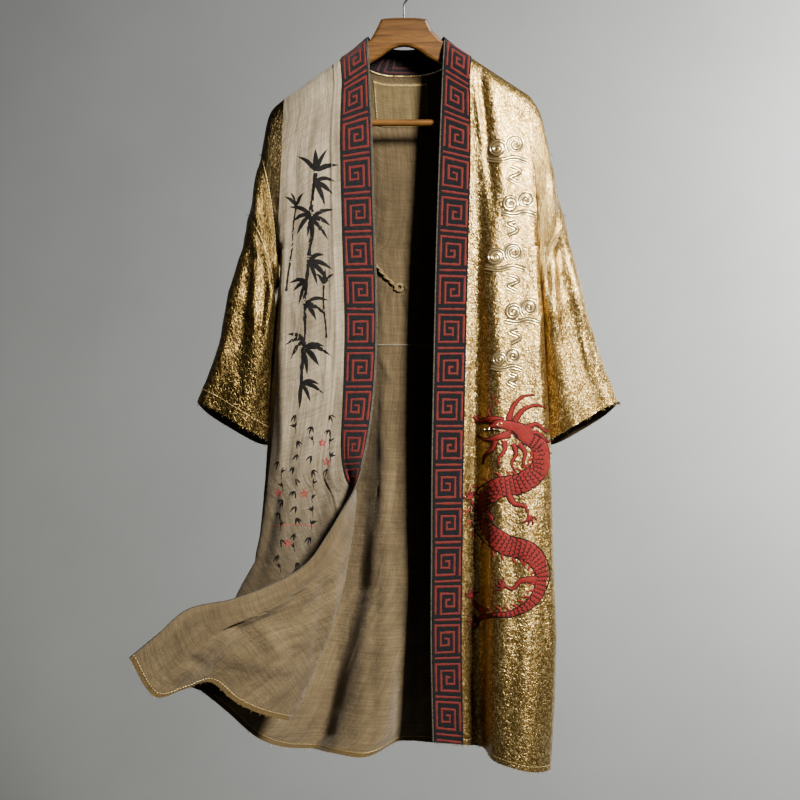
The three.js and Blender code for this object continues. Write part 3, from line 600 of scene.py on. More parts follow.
def grid_faces(rows, columns, wrap):
    """Faces of a shell of two layers, outer first, with the rims that close it."""
    count = rows * columns
    outer = quads(rows, columns, wrap)
    inner = outer[:, ::-1] + count
    k = np.arange(columns if wrap else columns - 1)
    beside = (k + 1) % columns
    low = (rows - 1) * columns
    rims = [
        np.stack([k, k + count, beside + count, beside], axis=1),
        np.stack([low + k, low + beside, low + beside + count, low + k + count], axis=1),
    ]
    if not wrap:
        down = np.arange(rows - 1) * columns
        below = down + columns
        rims.append(np.stack([down, below, below + count, down + count], axis=1))
        right = down + columns - 1
        under = below + columns - 1
        rims.append(np.stack([right, right + count, under + count, under], axis=1))
    return outer, inner, np.concatenate(rims)


def shell(name, nodes, points, normals, thickness, outward, looks, wrap=False):
    """A closed sheet of cloth on a grid of points.

    looks are the materials outside, inside and on the rim. Two UV maps are in metres of cloth:
    Weave runs across and down it, and Edge holds the distances from the first column and the hem.
    """
    rows, columns = points.shape[:2]
    half = normals * (outward * thickness / 2)
    vertices = np.concatenate([(points + half).reshape(-1, 3), (points - half).reshape(-1, 3)])
    outer, inner, rim = grid_faces(rows, columns, wrap)
    faces = np.concatenate([outer, inner, rim])
    if outward < 0:
        faces = faces[:, ::-1]
    look_of_face = np.repeat([0, 1, 2], [len(outer), len(inner), len(rim)])
    piece = make_object(name, vertices, faces, looks, look_of_face)
    add_cloth_maps(piece.data, points, wrap)
    sharpen_rims(piece.data, rows, columns, wrap)
    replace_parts(piece, *nodes)
    return piece


def loop_vertices(mesh):
    used = np.zeros(len(mesh.loops), dtype=np.int32)
    mesh.loops.foreach_get("vertex_index", used)
    return used


def add_map(mesh, name, places):
    mesh.uv_layers.new(name=name).data.foreach_set("uv", places.ravel())


def add_cloth_maps(mesh, points, wrap):
    rows, columns = points.shape[:2]
    across, down = cloth_lengths(points)
    total = across[:, -1:] + np.linalg.norm(points[:, -1:] - points[:, :1], axis=2)
    spot = loop_vertices(mesh) % (rows * columns)
    row, column = spot // columns, spot % columns
    u, v = across[row, column], down[row, column]
    if wrap:
        face_columns = column.reshape(-1, 4)
        crossing = (face_columns.max(axis=1) == columns - 1) & (face_columns.min(axis=1) == 0)
        late = np.repeat(crossing, 4) & (column == 0)
        u = np.where(late, total[row, 0], u)
    add_map(mesh, "Weave", np.stack([u, v], axis=1) * MM)
    add_map(mesh, "Edge", np.stack([u, down[-1][column] - v], axis=1) * MM)


def sharpen_rims(mesh, rows, columns, wrap):
    """Marks the edges of a sheet's two layers along its rims as sharp."""
    ends = np.zeros(len(mesh.edges) * 2, dtype=np.int32)
    mesh.edges.foreach_get("vertices", ends)
    ends = ends.reshape(-1, 2)
    count = rows * columns
    same = ends[:, 0] // count == ends[:, 1] // count
    row, column = (ends % count) // columns, (ends % count) % columns
    on_rim = np.zeros(len(ends), dtype=bool)
    for end in (0, rows - 1):
        on_rim |= (row == end).all(axis=1)
    if not wrap:
        for end in (0, columns - 1):
            on_rim |= (column == end).all(axis=1)
    mesh.attributes.new("sharp_edge", "BOOLEAN", "EDGE").data.foreach_set("value", same & on_rim)


class Pile:
    """Many small shapes gathered into one mesh."""

    def __init__(self):
        self.vertices = []
        self.faces = []
        self.maps = []
        self.count = 0

    def add(self, vertices, faces, maps):
        self.faces.append(np.asarray(faces) + self.count)
        self.vertices.append(vertices)
        self.maps.append(maps)
        self.count += len(vertices)

    def raised(self, path, normals, widths, heights, steps=4, sink=0.15):
        """A rounded ridge along a path on cloth, with half widths and heights in millimetres."""
        path, normals = np.asarray(path, float), np.asarray(normals, float)
        along = np.gradient(path, axis=0)
        side = np.cross(normals, along)
        side /= np.maximum(np.linalg.norm(side, axis=1, keepdims=True), 1e-9)
        turns = np.linspace(0, math.pi, steps + 1)
        widths = np.broadcast_to(widths, len(path))
        heights = np.broadcast_to(heights, len(path))
        rings = (
            path[:, None]
            + side[:, None] * (widths[:, None] * np.cos(turns))[:, :, None]
            + normals[:, None] * (heights[:, None] * np.sin(turns) - sink)[:, :, None]
        )
        self.add_rings(rings, lengths_along(path), False)

    def tube(self, path, radii, sides=6):
        path = np.asarray(path, float)
        along = np.gradient(path, axis=0)
        along /= np.maximum(np.linalg.norm(along, axis=1, keepdims=True), 1e-9)
        spare = np.where(np.abs(along[:, 1:2]) < 0.8, [[0, 1, 0]], [[1, 0, 0]])
        first = np.cross(along, spare)
        first /= np.linalg.norm(first, axis=1, keepdims=True)
        second = np.cross(along, first)
        turns = np.linspace(0, 2 * math.pi, sides, endpoint=False)
        radii = np.broadcast_to(radii, len(path))
        rings = path[:, None] + radii[:, None, None] * (
            first[:, None] * np.cos(turns)[None, :, None]
            + second[:, None] * np.sin(turns)[None, :, None]
        )
        self.add_rings(rings, lengths_along(path), True)

    def add_rings(self, rings, run, closed):
        rows, columns = rings.shape[:2]
        faces = quads(rows, columns, closed)
        maps = np.stack(np.broadcast_arrays(np.arange(columns)[None, :] / columns,
                                            run[:, None] * MM), axis=2).reshape(-1, 2)
        self.add(rings.reshape(-1, 3), faces[:, ::-1], maps)

    def make(self, name, look, slot):
        vertices, faces = np.concatenate(self.vertices), np.concatenate(self.faces)
        piece = make_object(name, vertices, faces, [look])
        add_map(piece.data, "Weave", np.concatenate(self.maps)[loop_vertices(piece.data)])
        return piece


# ------------------------------------------------------------------ materials

METAL_SPECULAR = 0.5
CLOTH_SPECULAR = 0.15
HEM_COLOUR_TOP = 0.0095       # height of the gold on a hem, in metres


def colour(text):
    """A linear colour from the usual six-digit form."""
    parts = [int(text[k:k + 2], 16) / 255 for k in (0, 2, 4)]
    return [p / 12.92 if p <= 0.04045 else ((p + 0.055) / 1.055) ** 2.4 for p in parts] + [1]


class Look:
    """A material and the small set of nodes that the cloths here are mixed from."""

    def __init__(self, name, roughness, metallic=0.0, sheen=0.0, map_name=None):
        self.material = bpy.data.materials.new(name)
        self.material.use_nodes = True
        self.tree = self.material.node_tree
        self.shader = self.tree.nodes["Principled BSDF"]
        self.map_name = map_name
        self.set("Roughness", roughness)
        self.set("Metallic", metallic)
        self.set("Sheen Weight", sheen)
        self.set("Specular IOR Level", METAL_SPECULAR if metallic else CLOTH_SPECULAR)

    def set(self, socket, value):
        self.shader.inputs[socket].default_value = value

    def node(self, kind, inputs=None, **settings):
        """A node with its settings, and with its sockets by name: values or outputs of others."""
        made = self.tree.nodes.new(kind)
        for key, value in settings.items():
            setattr(made, key, value)
        for key, value in (inputs or {}).items():
            self.feed(made.inputs[key], value)
        return made

    def feed(self, socket, value):
        """Sets a socket to a colour or number, or links it to another node's output."""
        if isinstance(value, bpy.types.NodeSocket):
            self.tree.links.new(value, socket)
        else:
            socket.default_value = colour(value) if isinstance(value, str) else value

    def place(self, scale, map_name=None):
        """Coordinates in metres, scaled on each axis: along the cloth, or in the object's space."""
        chosen = map_name or self.map_name
        if chosen:
            source = self.node("ShaderNodeUVMap", uv_map=chosen).outputs["UV"]
        else:
            source = self.node("ShaderNodeTexCoord").outputs["Object"]
        return self.node("ShaderNodeMapping", {"Scale": scale, "Vector": source}).outputs["Vector"]

    def noise(self, scale, detail=3, roughness=0.55, distortion=0.0):
        inputs = {"Scale": 1, "Detail": detail, "Roughness": roughness, "Distortion": distortion,
                  "Vector": self.place(scale)}
        return self.node("ShaderNodeTexNoise", inputs).outputs["Fac"]

    def threads(self, scale, direction):
        inputs = {"Scale": 1, "Distortion": 1.2, "Detail": 1, "Vector": self.place(scale)}
        return self.node("ShaderNodeTexWave", inputs, bands_direction=direction).outputs["Fac"]

    def maths(self, operation, a, b):
        return self.node("ShaderNodeMath", {0: a, 1: b}, operation=operation).outputs[0]

    def spread(self, value, low, high):
        """Stretches part of a value's range to 0 to 1."""
        inputs = {"From Min": low, "From Max": high, "Value": value}
        return self.node("ShaderNodeMapRange", inputs).outputs["Result"]

    def mixed(self, part, a, b):
        return self.node("ShaderNodeMix", {0: part, 6: a, 7: b}, data_type="RGBA").outputs[2]

    def laid_over(self, body, field, share, tone):
        """A body of colour with some of a tone over it, where a field is high."""
        return self.mixed(self.maths("MULTIPLY", field, share), body, tone)

    def axis_of(self, places, axis):
        return self.node("ShaderNodeSeparateXYZ", {0: places}).outputs[axis]

    def object_axis(self, axis):
        return self.axis_of(self.node("ShaderNodeTexCoord").outputs["Object"], axis)

    def above_hem(self):
        return self.axis_of(self.place((1, 1, 1), "Edge"), 1)

    def paint(self, value):
        self.feed(self.shader.inputs["Base Color"], value)

    def raise_surface(self, *heights):
        """Bumps laid over one another, each with its height field, strength and depth in metres."""
        below = {}
        for field, strength, depth in heights:
            inputs = {"Strength": strength, "Distance": depth, "Height": field, **below}
            below = {"Normal": self.node("ShaderNodeBump", inputs).outputs["Normal"]}
        self.feed(self.shader.inputs["Normal"], below["Normal"])


def linen(name, light, base, dark, streaky=0.25, hem=None, wear_and_shade=None, lower=None):
    """Washed plain weave: long slubs down it, shorter ones across, and uneven soiling.

    hem is the gold of its hem's threads. The argument after hem gives the places on X, in metres,
    from which and to which it gets dark: painted shade where the side turns away from the light,
    with some soiling in it. lower is a tone with the heights between which it comes in and its
    share: painted shade where the tone is darker, painted light where it is lighter.
    """
    look = Look(name, 0.92, sheen=0.12, map_name="Weave")
    slubs = look.spread(look.noise((300, 9, 1), 4, 0.65), 0.34, 0.68)
    cross = look.spread(look.noise((14, 300, 1), 4, 0.65), 0.4, 0.7)
    grain = look.spread(look.noise((900, 900, 1), 2), 0.3, 0.7)
    stains = look.spread(look.noise((11, 7, 1), 5, 0.65), 0.36, 0.7)
    streaks = look.spread(look.noise((110, 4, 1), 4, 0.65), 0.42, 0.66)
    body = look.mixed(slubs, base, light)
    # A tone over the cloth's lower part: painted shade where it is darker, painted light where it is
    # lighter.
    if lower:
        tone, start, end, share = lower
        body = look.laid_over(body, look.spread(look.object_axis(2), start, end), share, tone)
    for field, share in ((cross, 0.42), (grain, 0.3), (streaks, streaky), (stains, 0.55)):
        body = look.laid_over(body, field, share, dark)
    # Painted shade at the side, where the cloth turns away from the light, with some soiling in it.
    if wear_and_shade:
        wander = look.maths("MULTIPLY", look.noise((14, 6, 1), 4), 0.04)
        side_shade_and_soil = look.spread(look.maths("ADD", look.object_axis(0), wander), *wear_and_shade)
        body = look.laid_over(body, side_shade_and_soil, 0.8, dark)
    if hem:
        near = look.maths("LESS_THAN", look.above_hem(), HEM_COLOUR_TOP)
        glint = look.spread(look.noise((500, 500, 1), 2), 0.4, 0.65)
        body = look.mixed(near, body, look.mixed(glint, "4a3a1e", hem))
    look.paint(body)
    warp = look.threads((900, 0, 0), "X")
    weft = look.threads((0, 900, 0), "Y")
    look.raise_surface(
        (look.noise((50, 34, 1), 5, 0.6), 0.6, 0.005),
        (look.noise((170, 130, 1), 3, 0.6, 0.8), 0.5, 0.0016),
        (look.maths("ADD", slubs, cross), 0.35, 0.0006),
        (look.maths("ADD", warp, weft), 0.3, 0.0004),
    )
    return look.material


def lame(name, pale, base, dark):
    """Cloth of gold: a crackled metal skin, pale on its raised grains as a painted highlight, and brown
    between them.
    """
    look = Look(name, 0.3, metallic=0.95, map_name="Weave")
    grains = look.noise((270, 230, 1), 1, 0.5, 1.4)
    fine = look.noise((620, 560, 1), 2, 0.6)
    worn = look.spread(look.noise((26, 17, 1), 4, 0.6), 0.42, 0.74)
    body = look.mixed(look.spread(fine, 0.4, 0.58), dark, base)
    # Pale on the raised grains: a painted highlight, for sparkle.
    body = look.mixed(look.spread(grains, 0.5, 0.66), body, pale)
    look.paint(look.laid_over(body, worn, 0.35, dark))
    smoother = look.maths("MULTIPLY", fine, 0.28)
    look.feed(look.shader.inputs["Roughness"], look.maths("SUBTRACT", 0.48, smoother))
    look.raise_surface(
        (look.noise((46, 26, 1), 3, 0.55, 0.6), 0.6, 0.004),
        (grains, 0.9, 0.0011),
        (fine, 0.5, 0.0005),
    )
    return look.material


def plain(name, base, other, roughness, scale, metallic=0.0, depth=0.0006, map_name=None):
    """Two tones of one colour in soft patches."""
    look = Look(name, roughness, metallic=metallic, map_name=map_name)
    field = look.noise(scale, 4, 0.6)
    look.paint(look.mixed(look.spread(field, 0.35, 0.65), base, other))
    look.raise_surface((field, 0.4, depth))
    return look.material


def band_ground(name):
    """Worn ribbed black cloth."""
    look = Look(name, 0.88, sheen=0.08, map_name="Weave")
    ribs = look.threads((0, 260, 0), "Y")
    worn = look.spread(look.noise((110, 330, 1), 5, 0.7), 0.42, 0.7)
    faded = look.spread(look.noise((30, 30, 1), 4, 0.6), 0.35, 0.7)
    body = look.mixed(ribs, "020203", "070609")
    body = look.laid_over(body, worn, 0.75, "121318")
    look.paint(look.laid_over(body, faded, 0.5, "0b0a0d"))
    fuzz = look.noise((500, 500, 1), 3)
    look.raise_surface((worn, 0.6, 0.001), (ribs, 0.5, 0.0012), (fuzz, 0.4, 0.0008))
    return look.material


def worn_dye(name, strong, faded, ground):
    """Red laid on the band, rubbed through to its ground in small patches."""
    look = Look(name, 0.85, map_name="Weave")
    wear_and_shade = look.spread(look.noise((130, 190, 1), 5, 0.72), 0.46, 0.62)
    tone = look.spread(look.noise((90, 60, 1), 3), 0.35, 0.65)
    look.paint(look.laid_over(look.mixed(tone, strong, faded), wear_and_shade, 0.88, ground))
    look.raise_surface((wear_and_shade, 0.5, 0.0008))
    return look.material


def wood(name):
    """Varnished wood with its grain along the arms."""
    look = Look(name, 0.42)
    grain = look.noise((9, 60, 120), 5, 0.65, 0.8)
    pores = look.noise((60, 500, 700), 2)
    body = look.mixed(look.spread(grain, 0.35, 0.68), "38230b", "6a461a")
    look.paint(look.laid_over(body, look.spread(pores, 0.5, 0.7), 0.35, "27150a"))
    look.raise_surface((grain, 0.15, 0.0006), (pores, 0.1, 0.0003))
    look.set("Coat Weight", 0.25)
    look.set("Coat Roughness", 0.3)
    return look.material


# Outer linen: painted shade at its side, where it turns away from the light, with some soiling, and
# painted shade on its lower part, under the blown flap.
LINEN = linen("linen_outer", "b6a98f", "908167", "413624", streaky=0.42, wear_and_shade=(-0.18, -0.215),
              lower=("2c2216", -0.76, -1.02, 0.75))
# Lining: painted light on its lower part, where more light falls on the back and the flap.
LINING = linen("linen_inside", "6b5b3f", "53452d", "291f12", hem="66542f",
               lower=("8f7c5a", -0.72, -1.16, 0.5))
LINING_PLAIN = linen("linen_inside_plain", "6b5b3f", "53452d", "291f12")
GOLD = lame("gold_lame", "efd390", "b08d48", "573f1b")
# Copies of the gold with painted shade, for the right sleeve, which turns away from the light; its cap is
# darker still.
SHADED_CAP_GOLD = lame("shaded_cap_lame", "57492b", "261e0c", "0e0a04")
SHADED_SLEEVE_GOLD = lame("shaded_sleeve_lame", "b59757", "5d4a25", "2a1f0e")
BAND = band_ground("band_ground")
RED = worn_dye("band_red", "641f1b", "75322b", "0a0808")
FADED_RED = worn_dye("collar_red", "452020", "4d2c2b", "0c0a0c")
PIPE = plain("edge_piping", "2e2a23", "4f4a3f", 0.88, (300, 300, 300))
PATCH = linen("patch_linen", "786945", "5e5032", "322817")
CORD = plain("tie_cord", "54462d", "7c6a45", 0.85, (500, 500, 500))
WOOD = wood("hanger_wood")
STEEL = plain("hook_steel", "3f4042", "5b5c5f", 0.3, (60, 60, 400), metallic=1.0, depth=0.0001)

THREAD = plain("gold_thread", "a98648", "e0c98c", 0.4, (900, 900, 900), metallic=0.5)
# Dark thread for the loose threads; the same dark is also painted shadow along the couched cords.
DARK_THREAD_AND_SHADE = plain("dark_thread_and_shade", "2a2218", "5c4a2c", 0.85, (900, 900, 900))
INK = plain("brush_ink", "070605", "141210", 0.85, (260, 260, 260))
SEAL = plain("red_dye", "6a2826", "86403a", 0.85, (260, 260, 260))
COUCHED = plain("couched_cord", "d9b566", "fff0bd", 0.22, (600, 600, 600), metallic=0.9)
SILK = plain("red_silk", "4a0f10", "84251f", 0.75, (300, 100, 1), map_name="Weave", depth=0.0016)
SILK_DARK = plain("dark_silk", "150807", "2a1211", 0.6, (700, 90, 1), map_name="Weave")

# ------------------------------------------------------------------ creases and folds


def fold_table(*rows):
    """Soft ridges and, where the height is below zero, troughs.

    A row holds the ends of its line in the front view, its half width and its height along the
    cloth's outward side.
    """
    return table("start end width height", *rows)


LINEN_FOLDS = fold_table(
    ((-112, -215), (-178, -340), 10, 2.4),
    ((-148, -240), (-156, -560), 12, 2.7),
    ((-186, -270), (-194, -640), 9, -3.3),
    ((-206, -260), (-212, -900), 8, 4.5),
    ((-224, -300), (-236, -960), 18, -9.5),
    ((-131, -300), (-127, -700), 5, -1.8),
    ((-119, -480), (-140, -830), 7, 2.7),
    ((-108, -800), (-186, -1050), 13, -6),
    ((-150, -790), (-230, -1060), 11, 4.5),
    ((-196, -820), (-250, -1040), 9, -4.5),
    ((-176, -440), (-150, -700), 9, 2.1),
)
FLAP_FOLDS = fold_table(
    ((-92, -925), (-120, -1010), 4, -3.8),
    ((-100, -960), (-176, -1098), 5, 4.5),
    ((-112, -960), (-190, -1090), 4, -3.6),
    ((-130, -1010), (-150, -1190), 9, -4.5),
    ((-112, -985), (-128, -1180), 6, 3.3),
    ((-205, -1150), (-152, -1080), 13, -6.5),
    ((-348, -1098), (-268, -1128), 15, -7.0),
    ((-300, -1165), (-180, -1200), 16, 4.5),
    ((-235, -1120), (-205, -1180), 14, 5.0),
    ((-395, -1140), (-330, -1190), 9, -5.2),
    ((-420, -1150), (-390, -1190), 6, 4.5),
)
GOLD_FOLDS = fold_table(
    ((112, -160), (136, -300), 7, 4.8),
    ((128, -150), (152, -400), 8, -5),
    ((150, -170), (176, -420), 10, 3.6),
    ((122, -420), (124, -1330), 16, -7.0),
    ((160, -430), (166, -1330), 17, 6.0),
    ((196, -250), (204, -700), 14, -2.2),
    ((226, -330), (236, -900), 9, 3.1),
    ((184, -700), (190, -1340), 12, -1.2),
    ((206, -860), (202, -1360), 16, 2.0),
    ((242, -900), (240, -1370), 8, -1.8),
    ((120, -1230), (135, -1330), 6, -3.6),
)
UPPER_BACK_FOLDS = fold_table(
    ((-14, -556), (-14, -615), 3.5, -2.6),
    ((-8, -556), (13, -612), 3.5, -3.1),
    ((-40, -560), (-36, -640), 5, 2.6),
    ((-46, -470), (40, -478), 6, -1.3),
    ((-46, -385), (36, -391), 5, 1.3),
    ((-60, -300), (-52, -480), 12, -2.1),
    ((20, -330), (26, -620), 10, 2.1),
    ((-150, -330), (-160, -640), 18, -3.1),
    ((150, -330), (170, -640), 18, 3.1),
    ((-100, -280), (-96, -640), 14, 2.1),
    ((90, -290), (96, -640), 14, -2.1),
)
LOWER_BACK_FOLDS = fold_table(
    ((-40, -668), (-21, -712), 5, 3.1),
    ((-46, -690), (-52, -980), 9, -3.9),
    ((-20, -720), (-8, -1380), 10, -4.4),
    ((12, -700), (8, -1370), 6, 2.9),
    ((-44, -1010), (-62, -1360), 12, -3.4),
    ((-90, -1060), (-116, -1360), 14, 3.4),
    ((30, -780), (34, -1370), 10, 3.1),
    ((-150, -760), (-170, -1180), 16, -3.4),
    ((110, -760), (122, -1360), 16, 3.6),
    ((170, -800), (186, -1370), 14, -3.6),
    ((-200, -760), (-224, -1080), 12, 3.1),
)
SLEEVE_CREASES = fold_table(
    ((252, -330), (254, -690), 9, 5.4),
    ((268, -380), (284, -720), 10, -4.5),
    ((240, -420), (246, -760), 7, -3.6),
    ((290, -520), (322, -690), 8, 3.6),
    ((246, -500), (292, -470), 9, -3),
    ((240, -610), (300, -560), 10, 2.7),
    ((258, -650), (318, -640), 8, -2.4),
    ((300, -600), (352, -730), 8, -3.3),
)

FOLD_WANDER = 0.5             # how far a fold's line wanders, as a share of its half width
WANDER_LENGTH = 70
FADE_IN = (-0.2, 0.25)        # shares of its line over which a fold rises from the cloth
FADE_OUT = (0.75, 1.2)
HELD_RUN = 22                 # from where a seam's hold starts to give, to where the cloth is free


def folds(points, rows, seed, side=1):
    """Heights of the folds of a table over a grid of points."""
    x, z = points[:, :, 0] * side, points[:, :, 2]
    total = np.zeros(x.shape)
    for k, (start, end, width, height) in enumerate(each_row(rows)):
        along = end - start
        length = math.hypot(*along)
        part = ((x - start[0]) * along[0] + (z - start[1]) * along[1]) / length**2
        across = ((x - start[0]) * along[1] - (z - start[1]) * along[0]) / length
        wander = noise(part * length / WANDER_LENGTH + k * 3.7, np.full(x.shape, k + 0.5), seed)
        across = across + width * FOLD_WANDER * wander
        fade = smoothstep(part, *FADE_IN) * (1 - smoothstep(part, *FADE_OUT))
        total += height * fade * bump_at(across, 0, width)
    return total


def crumple(points, seed, size, height):
    """Small sharp creases, as washing leaves them, over the length and width of a cloth."""
    across, down = cloth_lengths(points)
    bend = 0.6 * noise(across / size / 2, down / size / 2, seed + 9)
    ridged = 1 - np.abs(layered(across / size + bend, down / size * 0.6 - bend, seed, 2)) * 1.6
    broad = noise(across / size / 3, down / size / 3, seed + 5)
    return height * (np.clip(ridged, 0, 1) ** 3 * (0.5 + 0.5 * broad) + 0.4 * broad)


def held(points, first=0, last=0, top=0, bottom=0):
    """0 where a cloth is held by a seam, rising to 1 away from it, past a width that stays flat."""
    share = np.ones(points.shape[:2])
    sides = (
        (first, 0, np.s_[:, :]),
        (last, 0, np.s_[:, ::-1]),
        (top, 1, np.s_[:, :]),
        (bottom, 1, np.s_[::-1]),
    )
    for flat, axis, order in sides:
        if flat:
            run = cloth_lengths(points[order])[axis][order]
            share = share * smoothstep(run, flat, flat + HELD_RUN)
    return share


def moved(points, normals, outward, heights):
    return points + normals * (heights * outward)[:, :, None]


# ------------------------------------------------------------------ the cloth pieces

ROUND = np.arange(0, 90, 6)   # degrees of the rows that round over a shoulder
PER_ROW = 16                  # sections of a front to each row of its table
BAND_STEPS = 12
RIGHT_STEPS = 110
LEFT_STEPS = 84
BACK_FINE = 6                 # columns here to each one of the solid's back
UPPER_FINE = 24               # rows here to each one of the back's table, above its waist seam
LOWER_FINE = 32
COLLAR_STEPS = (60, 10)
SLEEVE_SIDES = 120
SLEEVE_PER_RING = 10
PANELS = {}                   # node -> centre points, normals and the outward sign of a cloth


def columns_from_edge(steps):
    def columns(length, width):
        band = np.linspace(0, width, BAND_STEPS + 1)
        return np.concatenate([band, np.linspace(width, length, steps + 1)[1:]])
    return columns


def band_columns(length, width):
    return np.linspace(PIPING, width, BAND_STEPS + 1)


GATHER = 66                   # middle of the gathered strip beside the band, from the free edge
GATHER_HALF = 8
BESIDE_BAND = (BAND_WIDTH + 1, BAND_WIDTH + 5)


def linen_relief(points, normals):
    """Creases of the linen front: some on the hanging part, others on the part blown over it."""
    turned = smoothstep(normals[:, :, 1], 0.05, 0.45)
    hanging = folds(points, LINEN_FOLDS, 21) * (1 - turned)
    blown = folds(points, FLAP_FOLDS, 22) * turned
    return hanging - blown + crumple(points, 23, 26, 1.7)


def linen_gathers(points):
    """Puckers of the seam that runs beside the band."""
    across, down = cloth_lengths(points)
    pucker = noise(down / 7 + across / 30, across / 60, 24) + 0.6 * noise(down / 3.4, across / 40, 25)
    welt = 0.9 * bump_at(across, GATHER + 5, 1.6) - 0.9 * bump_at(across, GATHER + 9, 2.2)
    gathered = bump_at(across, GATHER, GATHER_HALF) * smoothstep(across, *BESIDE_BAND)
    return 1.1 * pucker * gathered + welt


def gold_relief(points, normals):
    return folds(points, GOLD_FOLDS, 31) + crumple(points, 32, 30, 1.0)


def no_gathers(points):
    return np.zeros(points.shape[:2])


def front(word, side, section, rows, steps, per_row, outward, reliefs, looks):
    node = f"front_{word}"
    points = front_points(side, section, rows, columns_from_edge(steps), ROUND, per_row)
    normals = grid_normals(points, flat_rows=[0], flat_columns=[BAND_STEPS + steps])
    share = held(points, first=BAND_WIDTH + 3, last=6, top=4)
    broad, gathers = reliefs
    heights = broad(points, normals * outward) * share + gathers(points)
    points = moved(points, normals, outward, heights)
    piece = shell(f"cloth_{node}", [node], points, normals, CLOTH, outward, looks)
    PANELS[node] = (points, normals, outward)
    return piece


def band(word, side, section, rows, per_row, outward, length):
    node = f"band_{word}"
    strip = front_points(side, section, rows, band_columns, ROUND, per_row)
    normals = grid_normals(strip, flat_rows=[0])
    centre = strip + normals * outward * (CLOTH / 2 + SEAM + BAND_CLOTH / 2)
    piece = shell(f"cloth_{node}", [node], centre, normals, BAND_CLOTH, outward, [BAND] * 3)
    PANELS[node] = (centre + normals * outward * BAND_CLOTH / 2, normals * outward, 1)


front_right = front("right", RIGHT, right_front_section, RIGHT_FRONT, RIGHT_STEPS, PER_ROW, 1,
                    (linen_relief, linen_gathers), [LINEN, LINING, PIPE])
front_left = front("left", LEFT, left_front_section, LEFT_FRONT, LEFT_STEPS, PER_ROW * 2, -1,
                   (gold_relief, no_gathers), [GOLD, LINING_PLAIN, GOLD])
band("right", RIGHT, right_front_section, RIGHT_FRONT, PER_ROW, 1, 1.20)
band("left", LEFT, left_front_section, LEFT_FRONT, PER_ROW * 2, -1, 1.21)

HEM_ROW = len(BACK["hem"]) - 1
fractions = np.linspace(0, 1, BACK_COLUMNS * BACK_FINE + 1)
upper_rows = np.linspace(0, WAIST_ROW, WAIST_ROW * UPPER_FINE + 1)
lower_rows = np.linspace(WAIST_ROW, HEM_ROW, (HEM_ROW - WAIST_ROW) * LOWER_FINE + 1)
back_grid = back_points(fractions, ROUND, np.concatenate([upper_rows, lower_rows[1:]]))
back_normals = grid_normals(back_grid, flat_rows=[0], flat_columns=[0, len(fractions) - 1])
waist = len(ROUND) + len(upper_rows) - 1


def back(word, rows, creases, seed, inside):
    node = f"back_{word}"
    points, normals = back_grid[rows], back_normals[rows]
    share = held(points, first=6, last=6, top=3, bottom=3 if word == "upper" else 0)
    relief = -folds(points, creases, seed) + crumple(points, seed + 1, 28, 1.6)
    points = moved(points, normals, 1, relief * share)
    piece = shell(f"cloth_{node}", [node], points, normals, CLOTH, 1, [GOLD, inside, GOLD])
    PANELS[node] = (points, normals, 1)
    return piece


back_upper = back("upper", slice(0, waist + 1), UPPER_BACK_FOLDS, 41, LINING_PLAIN)
back("lower", slice(waist, None), LOWER_BACK_FOLDS, 44, LINING)

collar_grid = collar_points(*COLLAR_STEPS)
collar_normals = grid_normals(collar_grid, flat_rows=[0, COLLAR_STEPS[0]])
collar = shell("cloth_collar", ["collar_back"], collar_grid, collar_normals, NECK_COLLAR, 1,
               [BAND] * 3)

BODY_PRESS = {"right": 9, "left": 4.5}    # how far a sleeve's inner side bulges towards the body
PRESS_HEIGHT = -570
PRESS_HALF = 240
# The right sleeve takes the copies of the gold with painted shade; the left sleeve takes the gold itself.
SLEEVE_LOOKS = {
    "right": {"cap": SHADED_CAP_GOLD, "upper": SHADED_SLEEVE_GOLD, "lower": SHADED_SLEEVE_GOLD},
    "left": {"cap": GOLD, "upper": GOLD, "lower": GOLD},
}


def sleeve(word, side, rows):
    points = sleeve_points(side, rows, SLEEVE_SIDES, SLEEVE_PER_RING)
    normals = grid_normals(points, wrap=True)
    cuts = [0, *(ring * SLEEVE_PER_RING for ring in SLEEVE_SEAMS), points.shape[0] - 1]
    relief = folds(points, SLEEVE_CREASES, 51, side["sign"]) + crumple(points, 52, 24, 1.7)
    facing = normals * side["sign"]
    fronts = smoothstep(-facing[:, :, 1], -0.5, 0.3)
    inner = smoothstep(-facing[:, :, 0] * side["sign"], 0.2, 0.8)
    pressed = BODY_PRESS[word] * inner * bump_at(points[:, :, 2], PRESS_HEIGHT, PRESS_HALF)
    for (name, look), start, end in zip(SLEEVE_LOOKS[word].items(), cuts, cuts[1:]):
        node = f"sleeve_{word}_{name}"
        here = slice(start, end + 1)
        share = held(points[here], top=2, bottom=0 if name == "lower" else 2)
        heights = (relief[here] * fronts[here] * (1 - inner[here]) + pressed[here]) * share
        grid = moved(points[here], normals[here], side["sign"], heights)
        piece = shell(f"cloth_{node}", [node], grid, normals[here], CLOTH, side["sign"],
                      [look, LINING_PLAIN, look], wrap=True)
        PANELS[node] = (grid, normals[here], side["sign"])


sleeve("right", RIGHT, RIGHT_SIDE)
sleeve("left", LEFT, LEFT_SIDE)


# ------------------------------------------------------------------ laying things on cloth


